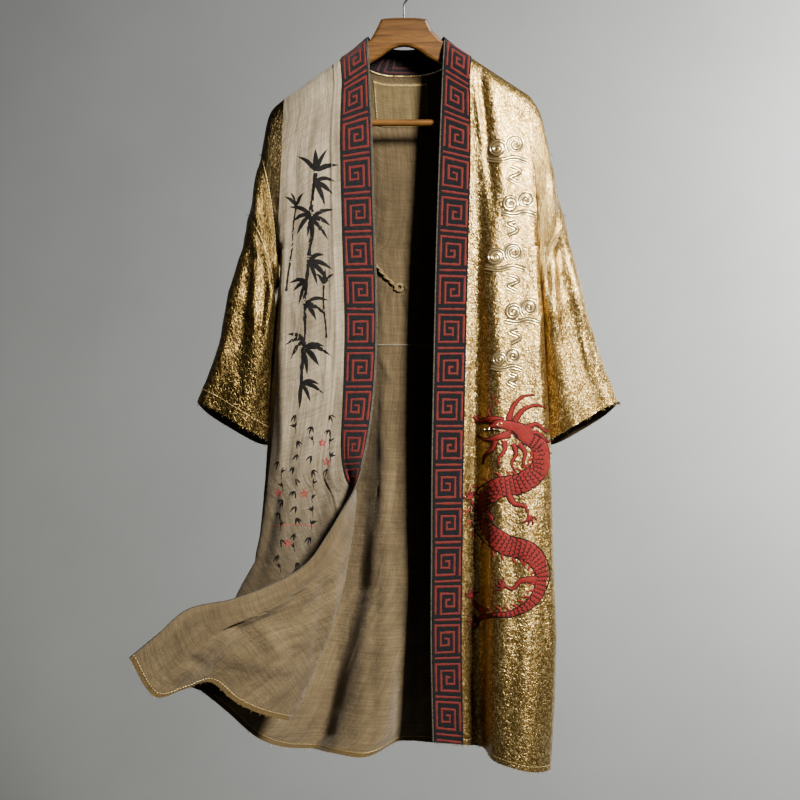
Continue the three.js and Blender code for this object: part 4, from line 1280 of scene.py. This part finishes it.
class Surface:
    """A grid of cloth with its outside normals, for reading places on it."""

    def __init__(self, points, normals, outward, lift):
        self.normals = normals * outward
        self.points = points + self.normals * lift
        middle = self.points[:, self.points.shape[1] // 2]
        self.down = lengths_along(middle)
        self.across, _ = cloth_lengths(self.points)

    def at(self, across, down):
        """Points and normals at millimetres across from the first column and down from the top."""
        rows = np.interp(down, self.down, np.arange(len(self.down)))
        low = np.clip(rows.astype(int), 0, len(self.down) - 2)
        part = (rows - low)[:, None]
        places, normals = [], []
        for i, share, wanted in zip(low, part, np.broadcast_to(across, len(rows))):
            run = lerp(self.across[i], self.across[i + 1], share)
            column = np.interp(wanted, run, np.arange(len(run)))
            j = min(int(column), len(run) - 2)
            over = column - j
            for grid, out in ((self.points, places), (self.normals, normals)):
                near = lerp(grid[i, j], grid[i, j + 1], over)
                far = lerp(grid[i + 1, j], grid[i + 1, j + 1], over)
                out.append(lerp(near, far, share))
        normals = np.array(normals)
        return np.array(places), normals / np.linalg.norm(normals, axis=1, keepdims=True)


def cloth_tree(piece):
    vertices = [vertex.co.copy() for vertex in piece.data.vertices]
    return BVHTree.FromPolygons(vertices, [tuple(face.vertices) for face in piece.data.polygons])


RAY_START = -1                # metres in front of the cloth


def seen_from_front(tree, xz, lift=0.0):
    """Where points of the front view fall on a cloth, and the cloth's normals there."""
    places, normals = [], []
    for x, z in xz:
        hit, normal, _, _ = tree.ray_cast(Vector((x * MM, RAY_START, z * MM)), Vector((0, 1, 0)))
        if hit is None:
            continue
        if normal.y > 0:
            normal.negate()
        places.append(np.array(hit) / MM + np.array(normal) * lift)
        normals.append(np.array(normal))
    return np.array(places), np.array(normals)


def smooth_path(corners, spacing=3.0):
    """A smooth run of flat points through a few corners."""
    dense = centripetal([(x, 0, z) for x, z in corners])
    length = lengths_along(dense)[-1]
    count = max(3, int(length / spacing) + 1)
    return points_at(dense, lambda total: np.linspace(0, total, count))[:, [0, 2]]


def beside(flat):
    """Unit steps to one side of a run of flat points."""
    along = np.gradient(flat, axis=0)
    out = np.stack([-along[:, 1], along[:, 0]], axis=1)
    return out / np.linalg.norm(out, axis=1, keepdims=True)


def about(centre, size, spots):
    """Places that are given in sizes from a centre."""
    return [(centre[0] + size * x, centre[1] + size * z) for x, z in spots]


def ellipse(centre, across, high, count):
    return [(centre[0] + across * math.cos(turn), centre[1] + high * math.sin(turn))
            for turn in np.linspace(0, 2 * math.pi, count)]


# ------------------------------------------------------------------ fret of the front band

FRET_PITCH = 67.0             # length of one unit of the fret
FRET_UNIT = FRET_PITCH - 9    # length of the square that its cells are counted on
FRET_START = 9.0
FRET_INSET = 5.2              # from the band's edges to the middle of the outermost line
FRET_LINE = 1.95              # half width of a line
FRET_OVERLAP = 0.8            # how far a line runs past its corners, as a share of its half width
FRET_WANDER = 0.6
FRET_STEP = 4.5
FRET_HEIGHT = 0.75
LAID = 0.1                    # how far above a cloth the things laid on it are set
# One unit, in cells of the fret's width across and of its height down: a square spiral and the bar
# that parts it from the next.
FRET_CELLS = 7
FRET_SPIRAL = ((0, 5.6), (0, 0), (7, 0), (7, 5.6), (1.55, 5.6), (1.55, 1.45), (5.45, 1.45),
               (5.45, 4.15), (3.1, 4.15), (3.1, 2.8), (4.1, 2.8))
FRET_BAR = ((0, 6.9), (7, 6.9))
FRET_LINES = (*zip(FRET_SPIRAL, FRET_SPIRAL[1:]), FRET_BAR)


def broken(corners, spacing):
    """Straight runs between corners, with points at most a spacing apart."""
    run = []
    for a, b in zip(corners, corners[1:]):
        count = max(1, int(math.hypot(b[0] - a[0], b[1] - a[1]) / spacing))
        run += [(lerp(a[0], b[0], k / count), lerp(a[1], b[1], k / count)) for k in range(count)]
    return run + [corners[-1]]


def fret_line(line, top, mirrored, width):
    """A line's ends as shares of the fret's width and millimetres down, run past its corners."""
    ends = []
    for across, down in line:
        share = across / FRET_CELLS
        wander = random.uniform(-FRET_WANDER, FRET_WANDER)
        ends.append((1 - share if mirrored else share, top + down / FRET_CELLS * FRET_UNIT + wander))
    ends = np.array(ends)
    way = ends[1] - ends[0]
    past = way / max(math.hypot(way[0] * width, way[1]), 1e-6) * FRET_LINE * FRET_OVERLAP
    step = FRET_STEP / width if abs(way[0]) > 0.01 else FRET_STEP
    return np.array(broken([tuple(ends[0] - past), tuple(ends[1] + past)], step)).T


def fret(name, panel, flipped, look):
    surface = Surface(*panel, LAID)
    pile = Pile()
    width = BAND_WIDTH - PIPING - 2 * FRET_INSET
    total = surface.down[-1]
    for unit in range(int((total - FRET_START) / FRET_PITCH) + 1):
        mirrored = (unit % 2 == 0) != flipped
        for line in FRET_LINES:
            shares, downs = fret_line(line, FRET_START + unit * FRET_PITCH, mirrored, width)
            if downs.max() > total - 2 or downs.min() < 1:
                continue
            spans = np.interp(downs, surface.down, surface.across[:, -1])
            inset = FRET_INSET * spans / (BAND_WIDTH - PIPING)
            places, normals = surface.at(inset + shares * (spans - 2 * inset), downs)
            wobble = 1 + 0.3 * noise(downs / 6 + unit, shares * 9 + unit * 3.1, 5)
            pile.raised(places, normals, FRET_LINE * wobble, FRET_HEIGHT, 4)
    pile.make(name, look, "band")


fret("fret_right", PANELS["band_right"], False, RED)
fret("fret_left", PANELS["band_left"], True, RED)
for face, word in ((1, "outside"), (-1, "inside")):
    laid = (collar_grid + collar_normals * face * NECK_COLLAR / 2, collar_normals * face, 1)
    fret(f"fret_collar_{word}", laid, False, FADED_RED)

# ------------------------------------------------------------------ piping, hems and loose threads

PIPING_STEPS = 330
piping = Pile()
for word in ("right", "left"):
    points, normals, outward = PANELS[f"front_{word}"]
    edge = points[:, 0] + normals[:, 0] * outward * 0.4
    path = points_at(edge, lambda length: np.linspace(0, length, PIPING_STEPS))
    uneven = noise(np.arange(PIPING_STEPS) / 9, np.zeros(PIPING_STEPS), 3)
    piping.tube(path, 1.5 + 0.15 * uneven, 8)
piping.make("band_piping", PIPE, "linen")


def stitched_line(pile, places, normals, stitch=3.2, gap=1.8, radius=0.42):
    """Small stitches along a line laid on cloth."""
    run = lengths_along(places)
    start = 0.0
    while start + stitch < run[-1]:
        spots = np.linspace(start, start + stitch, 4)
        path, facing = read_at(spots, run, places), read_at(spots, run, normals)
        pile.raised(path, facing, radius, radius, 3, sink=0.05)
        start += stitch + gap * random.uniform(0.7, 1.4)


THREAD_ROOT = 1.5             # how far a loose thread starts inside its cloth
THREAD_BEND = 0.18            # how far it bends, as a share of its length
# Places along a loose thread: shares of its length, of its bend and of its radius.
THREAD_PLACES = ((0.35, 0.3, 1), (0.7, 1, 0.8), (1, 1.6, 0.4))


def scattered(spread):
    return np.array([random.gauss(0, spread) for _ in range(3)])


def frayed(pile, places, directions, count, shortest, longest, spread=0.6, radius=0.22):
    """Loose threads standing out of an edge, in one direction or in one for each place."""
    run = lengths_along(places)
    directions = np.broadcast_to(directions, places.shape)
    for _ in range(count):
        spot = random.uniform(0, run[-1])
        root, way = read_at(spot, run, places), read_at(spot, run, directions)
        way = way + scattered(spread) * 0.6
        way /= np.linalg.norm(way)
        length = random.uniform(shortest, longest) * random.uniform(0.5, 1)
        bend = scattered(1) * length * THREAD_BEND
        path, radii = [root - way * THREAD_ROOT], [radius]
        for reach, bent, thick in THREAD_PLACES:
            path.append(root + way * length * reach + bend * bent)
            radii.append(radius * thick)
        pile.tube(path, radii, 3)


HEM_WIDTH = 9.0
CUFF_HEM = 23.0


def hem_places(panel, lift, width=HEM_WIDTH):
    """A line a hem's width above a panel's lower edge, on the side that lift points to."""
    points, normals, outward = panel
    places, facing = [], []
    for column in range(points.shape[1]):
        rising = points[::-1, column]
        spot = read_at(width, lengths_along(rising), rising)
        normal = normals[-1, column] * outward * math.copysign(1, lift)
        places.append(spot + normal * abs(lift))
        facing.append(normal)
    return np.array(places), np.array(facing)


HALF_UP = CLOTH / 2 + LAID
DOWN = (0, 0, -1.0)
# Stitched hems: the side that the stitches show on, and how many gold threads hang from the edge.
HEMS = (("front_right", -1, 90), ("back_lower", -1, 150), ("front_left", 1, 110))
gold_threads = Pile()
dark_threads = Pile()
for node, face, _ in HEMS:
    stitched_line(gold_threads, *hem_places(PANELS[node], face * HALF_UP))
for node, _, count in HEMS:
    edge = PANELS[node][0][-1]
    frayed(gold_threads, edge, DOWN, count, 2, 7)
    frayed(dark_threads, edge, DOWN, count // 3, 3, 9)
for word in ("right", "left"):
    frayed(dark_threads, PANELS[f"band_{word}"][0][-1], DOWN, 40, 2, 8)
for word, sign in (("right", -1), ("left", 1)):
    for name in ("cap", "upper"):
        points, normals, outward = PANELS[f"sleeve_{word}_{name}"]
        ring = np.concatenate([points[-2], points[-2][:1]])
        facing = np.concatenate([normals[-2], normals[-2][:1]]) * outward
        stitched_line(gold_threads, ring + facing * HALF_UP, facing, 4.5, 1.5, 0.5)
        frayed(dark_threads, ring[:4] + facing[:4] * 0.5, facing[:4] + [0, 0, -0.4], 9, 3, 8)
    cuff = PANELS[f"sleeve_{word}_lower"]
    stitched_line(gold_threads, *hem_places(cuff, HALF_UP, CUFF_HEM), 4.0, 1.6, 0.5)
    falling = (0.35 * sign, 0, -1.0)
    frayed(gold_threads, cuff[0][-1], falling, 90, 2, 6)
    frayed(dark_threads, cuff[0][-1], falling, 30, 2, 7)
worn_corner = PANELS["sleeve_left_lower"][0][-1][:5]
frayed(dark_threads, worn_corner, (0.5, -0.3, -1.0), 55, 3, 9, radius=0.4)
gold_threads.make("gold_threads", THREAD, "gold")
dark_threads.make("dark_threads", DARK_THREAD_AND_SHADE, "band")

# ------------------------------------------------------------------ inside of the back

INSIDE = CLOTH / 2 + SEAM
upper_points, upper_normals, _ = PANELS["back_upper"]
PATCH_ROWS = slice(7, 28)
PATCH_COLUMNS = slice(10 * BACK_FINE, 15 * BACK_FINE + 1)
patch_normals = upper_normals[PATCH_ROWS, PATCH_COLUMNS]
patch_points = upper_points[PATCH_ROWS, PATCH_COLUMNS] - patch_normals * (INSIDE + PATCH_CLOTH / 2)
patch = shell("cloth_neck_patch", ["neck_patch"], patch_points, patch_normals, PATCH_CLOTH, 1,
              [PATCH] * 3)

patch_face = Surface(patch_points, patch_normals, -1, PATCH_CLOTH / 2 + LAID)
patch_width = patch_face.across[0, -1]
patch_threads = Pile()
zigzag = np.arange(0, patch_width - 2, 2.4)
for shift, height in ((0, 3.4), (1.1, 2.2)):
    uneven = 0.8 * noise(zigzag / 5, zigzag * 0, 61)
    downs = 2.5 + height * (np.arange(len(zigzag)) % 2) + shift + uneven
    places, facing = patch_face.at(zigzag + 1, downs)
    patch_threads.raised(places, facing, 0.8, 0.8, 3)
down_side = np.arange(3, patch_face.down[-1] - 2, 3.0)
for across in (2.0, patch_width - 2.0):
    stitched_line(patch_threads, *patch_face.at(across, down_side))
patch_threads.make("patch_threads", THREAD, "gold")

TIE_ROUTE = ((-62, -498), (-48, -507), (-33, -526), (-18, -540))
TIE_LIFT = 2.6                # from the cloth to the middle of the twisted cord
PLY = 1.75                    # radius of each of its two plies
PLY_APART = 1.5
PLY_TURN = 4.5                # length over which the plies turn by one radian
KNOT_AT = (-8.2, -545)
KNOT_RADIUS = 6.6
KNOT_STEPS = 33
back_tree = cloth_tree(back_upper)
tie = Pile()
middle, facing = seen_from_front(back_tree, smooth_path(TIE_ROUTE, 1.5), TIE_LIFT)
across = np.cross(np.gradient(middle, axis=0), facing)
across /= np.linalg.norm(across, axis=1, keepdims=True)
twist = lengths_along(middle)[:, None] / PLY_TURN
for phase in (0, math.pi):
    ply = middle + PLY_APART * (across * np.cos(twist + phase) + facing * np.sin(twist + phase))
    tie.tube(ply, PLY, 8)
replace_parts(tie.make("rolled_tie", CORD, "cord"), "inner_tie")

knot = Pile()
knotted = 1 + 0.12 * np.sin(np.linspace(0, 2 * math.pi, KNOT_STEPS) * 9)
for radius, lift, wire in ((KNOT_RADIUS, 2.0, 1.9), (KNOT_RADIUS - 2.2, 3.0, 1.2)):
    ring = ellipse(KNOT_AT, radius, radius, KNOT_STEPS)
    knot.tube(seen_from_front(back_tree, ring, lift)[0], wire * knotted, 8)
wrap, _ = seen_from_front(back_tree, about(KNOT_AT, 1, ((-8.5, 4), (-7, 0), (-8, -4))), 2.8)
knot.tube(centripetal(wrap), 2.0, 8)
root, _ = seen_from_front(back_tree, about(KNOT_AT, 1, ((5, 3),)), 2.2)
frayed(knot, np.repeat(root, 2, axis=0) + [[0, 0, 0], [1, 0, -3]], (1.0, -0.1, 0.1), 26, 8, 17,
       spread=0.5, radius=0.4)
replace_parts(knot.make("ring_knot", CORD, "cord"), "inner_tie_knot")

# Welts along the waist seam, in the lighter outer linen: that lighter tone is a painted highlight along
# the seam.
welts = Pile()
for face in (-1, 1):
    welts.tube((upper_points[-1] + upper_normals[-1] * face * (CLOTH / 2))[4:-4], 1.5, 6)
welts.make("waist_welt", LINEN, "linen")

# ------------------------------------------------------------------ ink on the linen front

linen_tree = cloth_tree(front_right)
gold_tree = cloth_tree(front_left)


def stroke(pile, tree, corners, width, shape, height=0.2, steps=4, spacing=2.0, lift=0.05):
    """A stroke laid on cloth; shape gives its share of the width along it."""
    flat = smooth_path(corners, spacing)
    places, normals = seen_from_front(tree, flat, lift)
    if len(places) < 3:
        return
    part = np.linspace(0, 1, len(places))
    pile.raised(places, normals, np.maximum(width * shape(part), 0.12), height, steps, sink=0.05)


def leaf_shape(part):
    return np.sin(math.pi * np.clip(part, 0, 1) ** 0.7) ** 0.85


def stalk_shape(part):
    return 0.82 + 0.3 * np.abs(2 * part - 1) ** 4 + 0.12 * np.sin(part * 23)


def tapered(part):
    return 1 - 0.85 * part


def spray(pile, tree, foot, heading, leaves, length, width):
    """A fan of drooping leaves about a heading, in degrees above the level."""
    for k in range(leaves):
        turn = math.radians(heading + (k - (leaves - 1) / 2) * 34 + random.uniform(-9, 9))
        reach = length * random.uniform(0.75, 1.1)
        droop = reach * random.uniform(0.1, 0.22)
        ahead, up = reach * math.cos(turn), reach * math.sin(turn)
        tip = (foot[0] + ahead, foot[1] + up - droop)
        bend = (foot[0] + ahead * 0.5, foot[1] + up * 0.5 + droop * 0.25)
        stroke(pile, tree, [foot, bend, tip], width * random.uniform(0.8, 1.15), leaf_shape)


# Stalks, as the ends of their joints and a half width.
STALKS = (
    (((-178, -735), (-172, -655), (-170, -575), (-163, -500), (-160, -425), (-152, -350)), 3.6),
    (((-203, -560), (-196, -505), (-192, -455), (-186, -410)), 2.2),
    (((-133, -640), (-138, -590), (-138, -545)), 1.8),
)
SPRAYS = table(               # fans of leaves; the heading is in degrees above the level
    "foot heading leaves length width",
    ((-152, -350), 75, 4, 46, 4.4),
    ((-155, -368), -38, 4, 42, 4.2),
    ((-160, -425), 205, 4, 40, 4.0),
    ((-160, -432), -30, 4, 44, 4.4),
    ((-186, -410), 100, 3, 30, 3.2),
    ((-164, -505), -25, 4, 42, 4.2),
    ((-167, -540), 215, 3, 36, 3.8),
    ((-170, -577), -20, 3, 40, 4.0),
    ((-138, -545), 80, 3, 30, 3.0),
    ((-171, -640), 210, 4, 40, 4.2),
    ((-172, -655), -28, 4, 46, 4.6),
    ((-177, -715), -40, 4, 40, 4.0),
)
JOINT_GAP = 0.045             # bare share of a stalk's joint at each of its ends
ink = Pile()
for joints, width in STALKS:
    for low, high in zip(np.array(joints, float), np.array(joints[1:], float)):
        start, end = lerp(low, high, JOINT_GAP), lerp(low, high, 1 - JOINT_GAP)
        halfway = (lerp(start[0], end[0], 0.5) + random.uniform(-1.5, 1.5), lerp(start[1], end[1], 0.5))
        stroke(ink, linen_tree, [start, halfway, end], width, stalk_shape)
        ring = [high + (-width * 1.5, -1), high + (0, 1), high + (width * 1.5, -1)]
        stroke(ink, linen_tree, ring, 1.1, leaf_shape)
for foot, heading, leaves, length, width in each_row(SPRAYS):
    spray(ink, linen_tree, tuple(foot), heading, int(leaves), length, width)

# Small sprigs below, in rows that lean with the cloth.
SPRIG_ROWS = table(
    "x top bottom",
    (-128, -770, -880),
    (-158, -790, -1000),
    (-186, -770, -1030),
    (-212, -850, -1040),
)
SPRIG_HEADINGS = (60, 120, -60, 240)
for x, z, bottom in each_row(SPRIG_ROWS):
    while z > bottom:
        foot = (x + random.uniform(-4, 4), z)
        spray(ink, linen_tree, foot, random.choice(SPRIG_HEADINGS), random.choice((2, 3)), 13, 1.7)
        stroke(ink, linen_tree, about(foot, 1, ((0, 0), (1, -6), (-1, -12))), 0.9, tapered)
        z -= random.uniform(20, 27)
ink.make("ink_bamboo", INK, "linen")

PETALS = 5
PETAL = 7.5                   # length of a petal
PETAL_HALF = 2.6
BLOSSOMS = ((-140, -818), (-133, -850), (-171, -905), (-200, -990), (-216, -905))
blossoms = Pile()
for x, z in BLOSSOMS:
    for k in range(PETALS):
        turn = math.radians(90 + 360 / PETALS * k)
        tip = (x + PETAL * math.cos(turn), z + PETAL * math.sin(turn))
        bend = (lerp(x, tip[0], 0.55), lerp(z, tip[1], 0.55))
        petal = [(x + math.cos(turn), z + math.sin(turn)), bend, tip]
        stroke(blossoms, linen_tree, petal, PETAL_HALF, leaf_shape)
stroke(blossoms, linen_tree, [(-226, -962), (-190, -958), (-152, -961)], 0.8, stalk_shape)
blossoms.make("red_blossoms", SEAL, "linen")

# ------------------------------------------------------------------ couched scrolls on the gold


def curl(centre, radius, turns, start, hand):
    """A spiral from its heart outwards, as x and z, in turns of either hand, 1 or -1."""
    parts = np.linspace(0, 1, int(16 * turns))
    angles = math.radians(start) + hand * 2 * math.pi * turns * parts
    reach = radius * (0.16 + 0.84 * parts)
    return [(centre[0] + r * math.cos(a), centre[1] + r * math.sin(a)) for r, a in zip(reach, angles)]


# Places across a couched line: the offset from its middle, the pile that takes it and its share of
# the full width and height. The shadow pile holds dark ridges of painted shadow, in the groove
# between the two gold cords and beside them.
COUCHED_CORDS = ((-2.3, "scrolls", 1), (0, "shadow", 0.7), (2.3, "scrolls", 1), (4.8, "shadow", 0.7))
COUCHED_HALF = 1.7
COUCHED_HEIGHT = 1.9


def couched(piles, corners):
    """Two gold cords laid side by side along a line, with dark ridges of painted shadow between and beside
    them.
    """
    flat = smooth_path(corners, 1.6)
    for offset, cord, share in COUCHED_CORDS:
        places, normals = seen_from_front(gold_tree, flat + beside(flat) * offset, LAID)
        uneven = 1 + 0.15 * noise(np.arange(len(places)) / 3, np.zeros(len(places)), 71)
        piles[cord].raised(places, normals, COUCHED_HALF * share * uneven, COUCHED_HEIGHT * share, 5)


# Clouds of two curls over two lines, one of which trails to one side, in a cloud's sizes. A curl
# has its middle, its radius, its turns, where it starts in degrees, and its hand.
CLOUD_CURLS = (((-0.9, 0), 0.8, 1.6, 200, -1), ((0.95, 0.5), 1, 1.7, -20, 1))
CLOUD_BASE = ((-1.9, -1), (-0.6, -1.25), (0.8, -0.95), (2.1, -1.3))
CLOUD_TRAIL = ((0.4, -1.9), (1.3, -2.3), (0.2, -2.9), (1.2, -3.5))
CLOUDS = table(
    "middle size trails",
    ((176, -312), 17, 1),
    ((196, -408), 15, -1),
    ((172, -500), 17, 1),
    ((200, -594), 15, -1),
    ((174, -676), 13, 1),
)
piles = {"scrolls": Pile(), "shadow": Pile()}
for (x, z), size, way in each_row(CLOUDS):
    for middle, radius, turns, start, hand in CLOUD_CURLS:
        centre, = about((x, z), size, (middle,))
        couched(piles, curl(centre, size * radius, turns, start, hand))
    couched(piles, about((x, z), size, CLOUD_BASE))
    couched(piles, about((x, z), size, [(way * across, up) for across, up in CLOUD_TRAIL]))
piles["scrolls"].make("couched_scrolls", COUCHED, "gold")
piles["shadow"].make("couched_shadow", DARK_THREAD_AND_SHADE, "gold")

# ------------------------------------------------------------------ embroidered dragon

# A dragon of the common kind, climbing from the hem side: corners of its spine from tail to neck.
SPINE = ((128, -1128), (150, -1112), (186, -1106), (222, -1082), (236, -1040), (214, -1004),
         (172, -990), (140, -966), (132, -926), (158, -896), (200, -886), (230, -862), (232, -826),
         (206, -806))
BODY_HALF = 17
BODY_HEIGHT = 1.6
BODY_RUN = 40                 # points of the spine in each length of the body's silk
SCALE_STEP = 7.5
FIRST_SCALES = 3              # rows of scales left out at the tail
WIDE_BODY = 9                 # half width past which a row has four scales instead of two
SCALE_SIZE = 0.92             # radius of a scale, as a share of its place in the row
SCALE_SPREAD = 0.82           # share of the body's width that a row takes
SCALE_LIMIT = 0.9             # and the share past which a scale is left out
OUTLINE = (1.2, 1.6)          # half width and height of the body's dark line
STROKE_OUTLINE = (0.9, 1.3)

silk = Pile()
dark = Pile()
bright = Pile()


def on_gold(flat, lift=LAID):
    return seen_from_front(gold_tree, flat, lift)


def outlined(flat, halves, size, steps):
    """Dark lines along both sides of a run of flat points."""
    for sign in (-1, 1):
        places, normals = on_gold(flat + beside(flat) * (sign * halves)[:, None])
        dark.raised(places, normals, *size, steps)


def filled(corners, width, height=1.7, edge=True):
    """A tapering red stroke with a dark line on each side."""
    flat = smooth_path(corners, 1.8)
    places, normals = on_gold(flat)
    silk.raised(places, normals, width * tapered(np.linspace(0, 1, len(places))), height, 6)
    if edge:
        outlined(flat, width * tapered(np.linspace(0, 1, len(flat))), STROKE_OUTLINE, 3)


def quarter_turn(way):
    return np.array([-way[1], way[0]])


def scale_row(centre, way, wide, staggered):
    """A row of scales across the body; each is a bow that opens towards the head."""
    side = quarter_turn(way)
    count = 4 if wide > WIDE_BODY else 2
    size = wide / count * SCALE_SIZE
    for k in range(count):
        offset = ((k + 0.5 + 0.5 * staggered) / count * 2 - 1.1) * wide * SCALE_SPREAD
        if abs(offset) > wide * SCALE_LIMIT:
            continue
        bow = [centre + side * (offset + size * math.cos(turn)) - way * size * math.sin(turn)
               for turn in np.linspace(0, math.pi, 7)]
        places, normals = on_gold(bow, BODY_HEIGHT * math.sqrt(1 - (offset / wide) ** 2))
        dark.raised(places, normals, 1.0, 1.0, 3)


def dragon_body():
    spine = smooth_path(SPINE, 2.4)
    part = np.linspace(0, 1, len(spine))
    half = BODY_HALF * (0.16 + 0.84 * smoothstep(part, 0, 0.45)) * (1 - 0.3 * smoothstep(part, 0.8, 1))
    for low in range(0, len(spine) - 1, BODY_RUN):
        here = slice(low, min(low + BODY_RUN + 2, len(spine)))
        places, normals = on_gold(spine[here])
        if len(places) == len(spine[here]):
            silk.raised(places, normals, half[here], BODY_HEIGHT, 10)
    outlined(spine, half, OUTLINE, 4)
    sideways = beside(spine)
    ways = np.stack([sideways[:, 1], -sideways[:, 0]], axis=1)
    run = lengths_along(spine)
    for k in range(FIRST_SCALES, int(run[-1] / SCALE_STEP)):
        spot = k * SCALE_STEP
        centre, way, wide = read_at(spot, run, spine), read_at(spot, run, ways), np.interp(spot, run, half)
        scale_row(centre, way, wide, k % 2)
        if k % 2 == 0:
            side = quarter_turn(way)
            fin = centre + side * wide
            fin = [fin - way * 2, fin + side * 5 - way * 4, fin + side * 10 - way * 10]
            stroke(silk, gold_tree, fin, 3.0, tapered, 1.4)


dragon_body()


# Head, seen from the side and facing the band: strokes, as corners and a half width.
HEAD = (
    (((212, -806), (190, -794), (172, -790), (158, -794)), 13),
    (((176, -789), (160, -784), (146, -786), (137, -779)), 8),
    (((186, -803), (168, -808), (154, -812), (142, -806)), 5.5),
    (((192, -786), (204, -770), (222, -764), (236, -768)), 4),
    (((184, -784), (190, -766), (204, -752), (220, -750)), 4),
)
MANE = (
    ((204, -796), (222, -790), (236, -800), (244, -792)),
    ((206, -804), (224, -802), (238, -814), (248, -808)),
    ((206, -812), (220, -818), (232, -832), (244, -830)),
    ((198, -816), (206, -828), (204, -844), (214, -852)),
    ((190, -816), (194, -830), (188, -844), (194, -856)),
    ((178, -812), (178, -826), (170, -838), (172, -850)),
    ((166, -812), (162, -824), (152, -834), (150, -846)),
)
WHISKERS = (
    ((142, -782), (128, -770), (122, -784), (112, -778)),
    ((150, -778), (144, -760), (158, -750), (150, -738)),
)
# Dark lines of the mouth, the brow, the cheek and the nostril.
FACE_LINES = (
    ((150, -799), (164, -798), (178, -800)),
    ((158, -789), (168, -784), (178, -784)),
    ((188, -798), (196, -806), (192, -814)),
    ((140, -786), (146, -790), (152, -789)),
)
EYE = (172, -790)
TOOTH = ((0, 0), (0.8, -3), (0.5, -6))
HEAD_SCALE = 1.25
NECK = (206, -806)


def grown(corners):
    """Places of the head, grown about the neck."""
    return [(lerp(NECK[0], x, HEAD_SCALE), lerp(NECK[1], z, HEAD_SCALE)) for x, z in corners]


for corners, width in HEAD:
    filled(grown(corners), width * HEAD_SCALE)
for corners in MANE:
    filled(grown(corners), 4.6, 1.5)
for corners in WHISKERS:
    filled(corners, 1.6, 1.0, edge=False)
for corners in FACE_LINES:
    stroke(dark, gold_tree, grown(corners), 1.6, leaf_shape, 2.6)
places, normals = on_gold(grown(ellipse(EYE, 3.4, 2.6, 14)), 1.6)
bright.raised(places, normals, 0.7, 1.0, 4)
for x in (146, 152, 158, 164):
    stroke(bright, gold_tree, grown(about((x, -796), 1, TOOTH)), 1.2, tapered, 2.2)

# Legs: corners from the body to the foot, and the way that the claws point, in degrees.
LEGS = (
    (((224, -1050), (198, -1052), (184, -1066), (170, -1060)), 160),
    (((150, -950), (140, -934), (122, -930), (116, -914)), 120),
    (((176, -894), (186, -920), (206, -926), (212, -944)), -70),
    (((140, -1112), (124, -1100), (118, -1086)), 100),
)
CLAW_TURNS = (-62, -22, 18, 58)
TAIL_HEADINGS = (150, 185, 215, 245)


def bent_stroke(root, heading, middle, tip, width, height, hand=1):
    """A hooked stroke; its middle and tip are steps along a heading and to one side of it."""
    aim = math.radians(heading)
    ahead = np.array([math.cos(aim), math.sin(aim)])
    aside = quarter_turn(ahead) * hand
    root = np.array(root, float)
    filled([root, *(root + ahead * reach + aside * bend for reach, bend in (middle, tip))], width, height)


for corners, heading in LEGS:
    filled(corners, 6.5, 1.9)
    for turn in CLAW_TURNS:
        bent_stroke(corners[-1], heading + turn, (8, 1.5), (15, -2.5), 2.5, 1.5)
for k, heading in enumerate(TAIL_HEADINGS):
    bent_stroke(SPINE[0], heading, (9, 3), (20, -2), 2.8, 1.2, 1 if k % 2 else -1)
silk.make("dragon_silk", SILK, "gold")
dark.make("dragon_outline", SILK_DARK, "gold")
bright.make("dragon_gold", COUCHED, "gold")

# ------------------------------------------------------------------ stage, light and camera

WALL_Y = 3.2
FLOOR_Z = -2.7
FLOOR_HALF = 6
WALL_TOP = 4
CAMERA_AT = (-0.007, -2.8, -0.7446)
LENS = 72.2
SENSOR = 36
AIR = (0.8, 0.82, 0.84, 1)
AIR_STRENGTH = 0.09


def stage_plane(name, look, near_y, far_z):
    """A plane from an edge of the floor, or from its far edge, to the foot or top of the wall."""
    near = [(-FLOOR_HALF, near_y, FLOOR_Z), (FLOOR_HALF, near_y, FLOOR_Z)]
    far = [(FLOOR_HALF, WALL_Y, far_z), (-FLOOR_HALF, WALL_Y, far_z)]
    mesh = bpy.data.meshes.new(name)
    mesh.from_pydata(near + far, [], [(0, 1, 2, 3)])
    mesh.materials.append(look)
    linked(name, mesh)


def area_light(name, place, aim, size, power, tint=(1, 1, 1), spread=180):
    light = bpy.data.lights.new(name, "AREA")
    light.shape = "RECTANGLE"
    light.size, light.size_y = size
    light.energy = power
    light.color = tint
    light.spread = math.radians(spread)
    made = linked(name, light)
    made.location = place
    made.rotation_euler = (Vector(aim) - Vector(place)).to_track_quat("-Z", "Y").to_euler()


WALL = plain("wall_plaster", "656664", "696a68", 0.95, (1.5, 1.5, 1.5))
stage_plane("floor", WALL, -FLOOR_HALF, FLOOR_Z)
stage_plane("wall", WALL, WALL_Y, WALL_TOP)

camera_data = bpy.data.cameras.new("camera")
camera_data.sensor_width = SENSOR
camera_data.lens = LENS
camera = linked("camera", camera_data)
camera.location = CAMERA_AT
camera.rotation_euler = (math.pi / 2, 0, 0)
bpy.context.scene.camera = camera

area_light("key", (1.75, -2.55, 1.1), (0.1, 0.0, -0.75), (0.5, 0.8), 84, (1.0, 0.97, 0.93), 72)
area_light("wall_wash", (3.0, 1.6, 0.2), (2.2, WALL_Y, -0.5), (1.4, 1.2), 850)
area_light("wall_glow", (-1.0, 1.8, 1.6), (-0.4, WALL_Y, 0.4), (1.0, 0.8), 9)
world = bpy.data.worlds.new("studio")
world.use_nodes = True
world.node_tree.nodes["Background"].inputs["Color"].default_value = AIR
world.node_tree.nodes["Background"].inputs["Strength"].default_value = AIR_STRENGTH
bpy.context.scene.world = world

for node, look in (("hanger_arms", WOOD), ("hanger_bar", WOOD), ("hanger_hook", STEEL)):
    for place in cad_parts[node].material_slots:
        place.link = "OBJECT"
        place.material = look
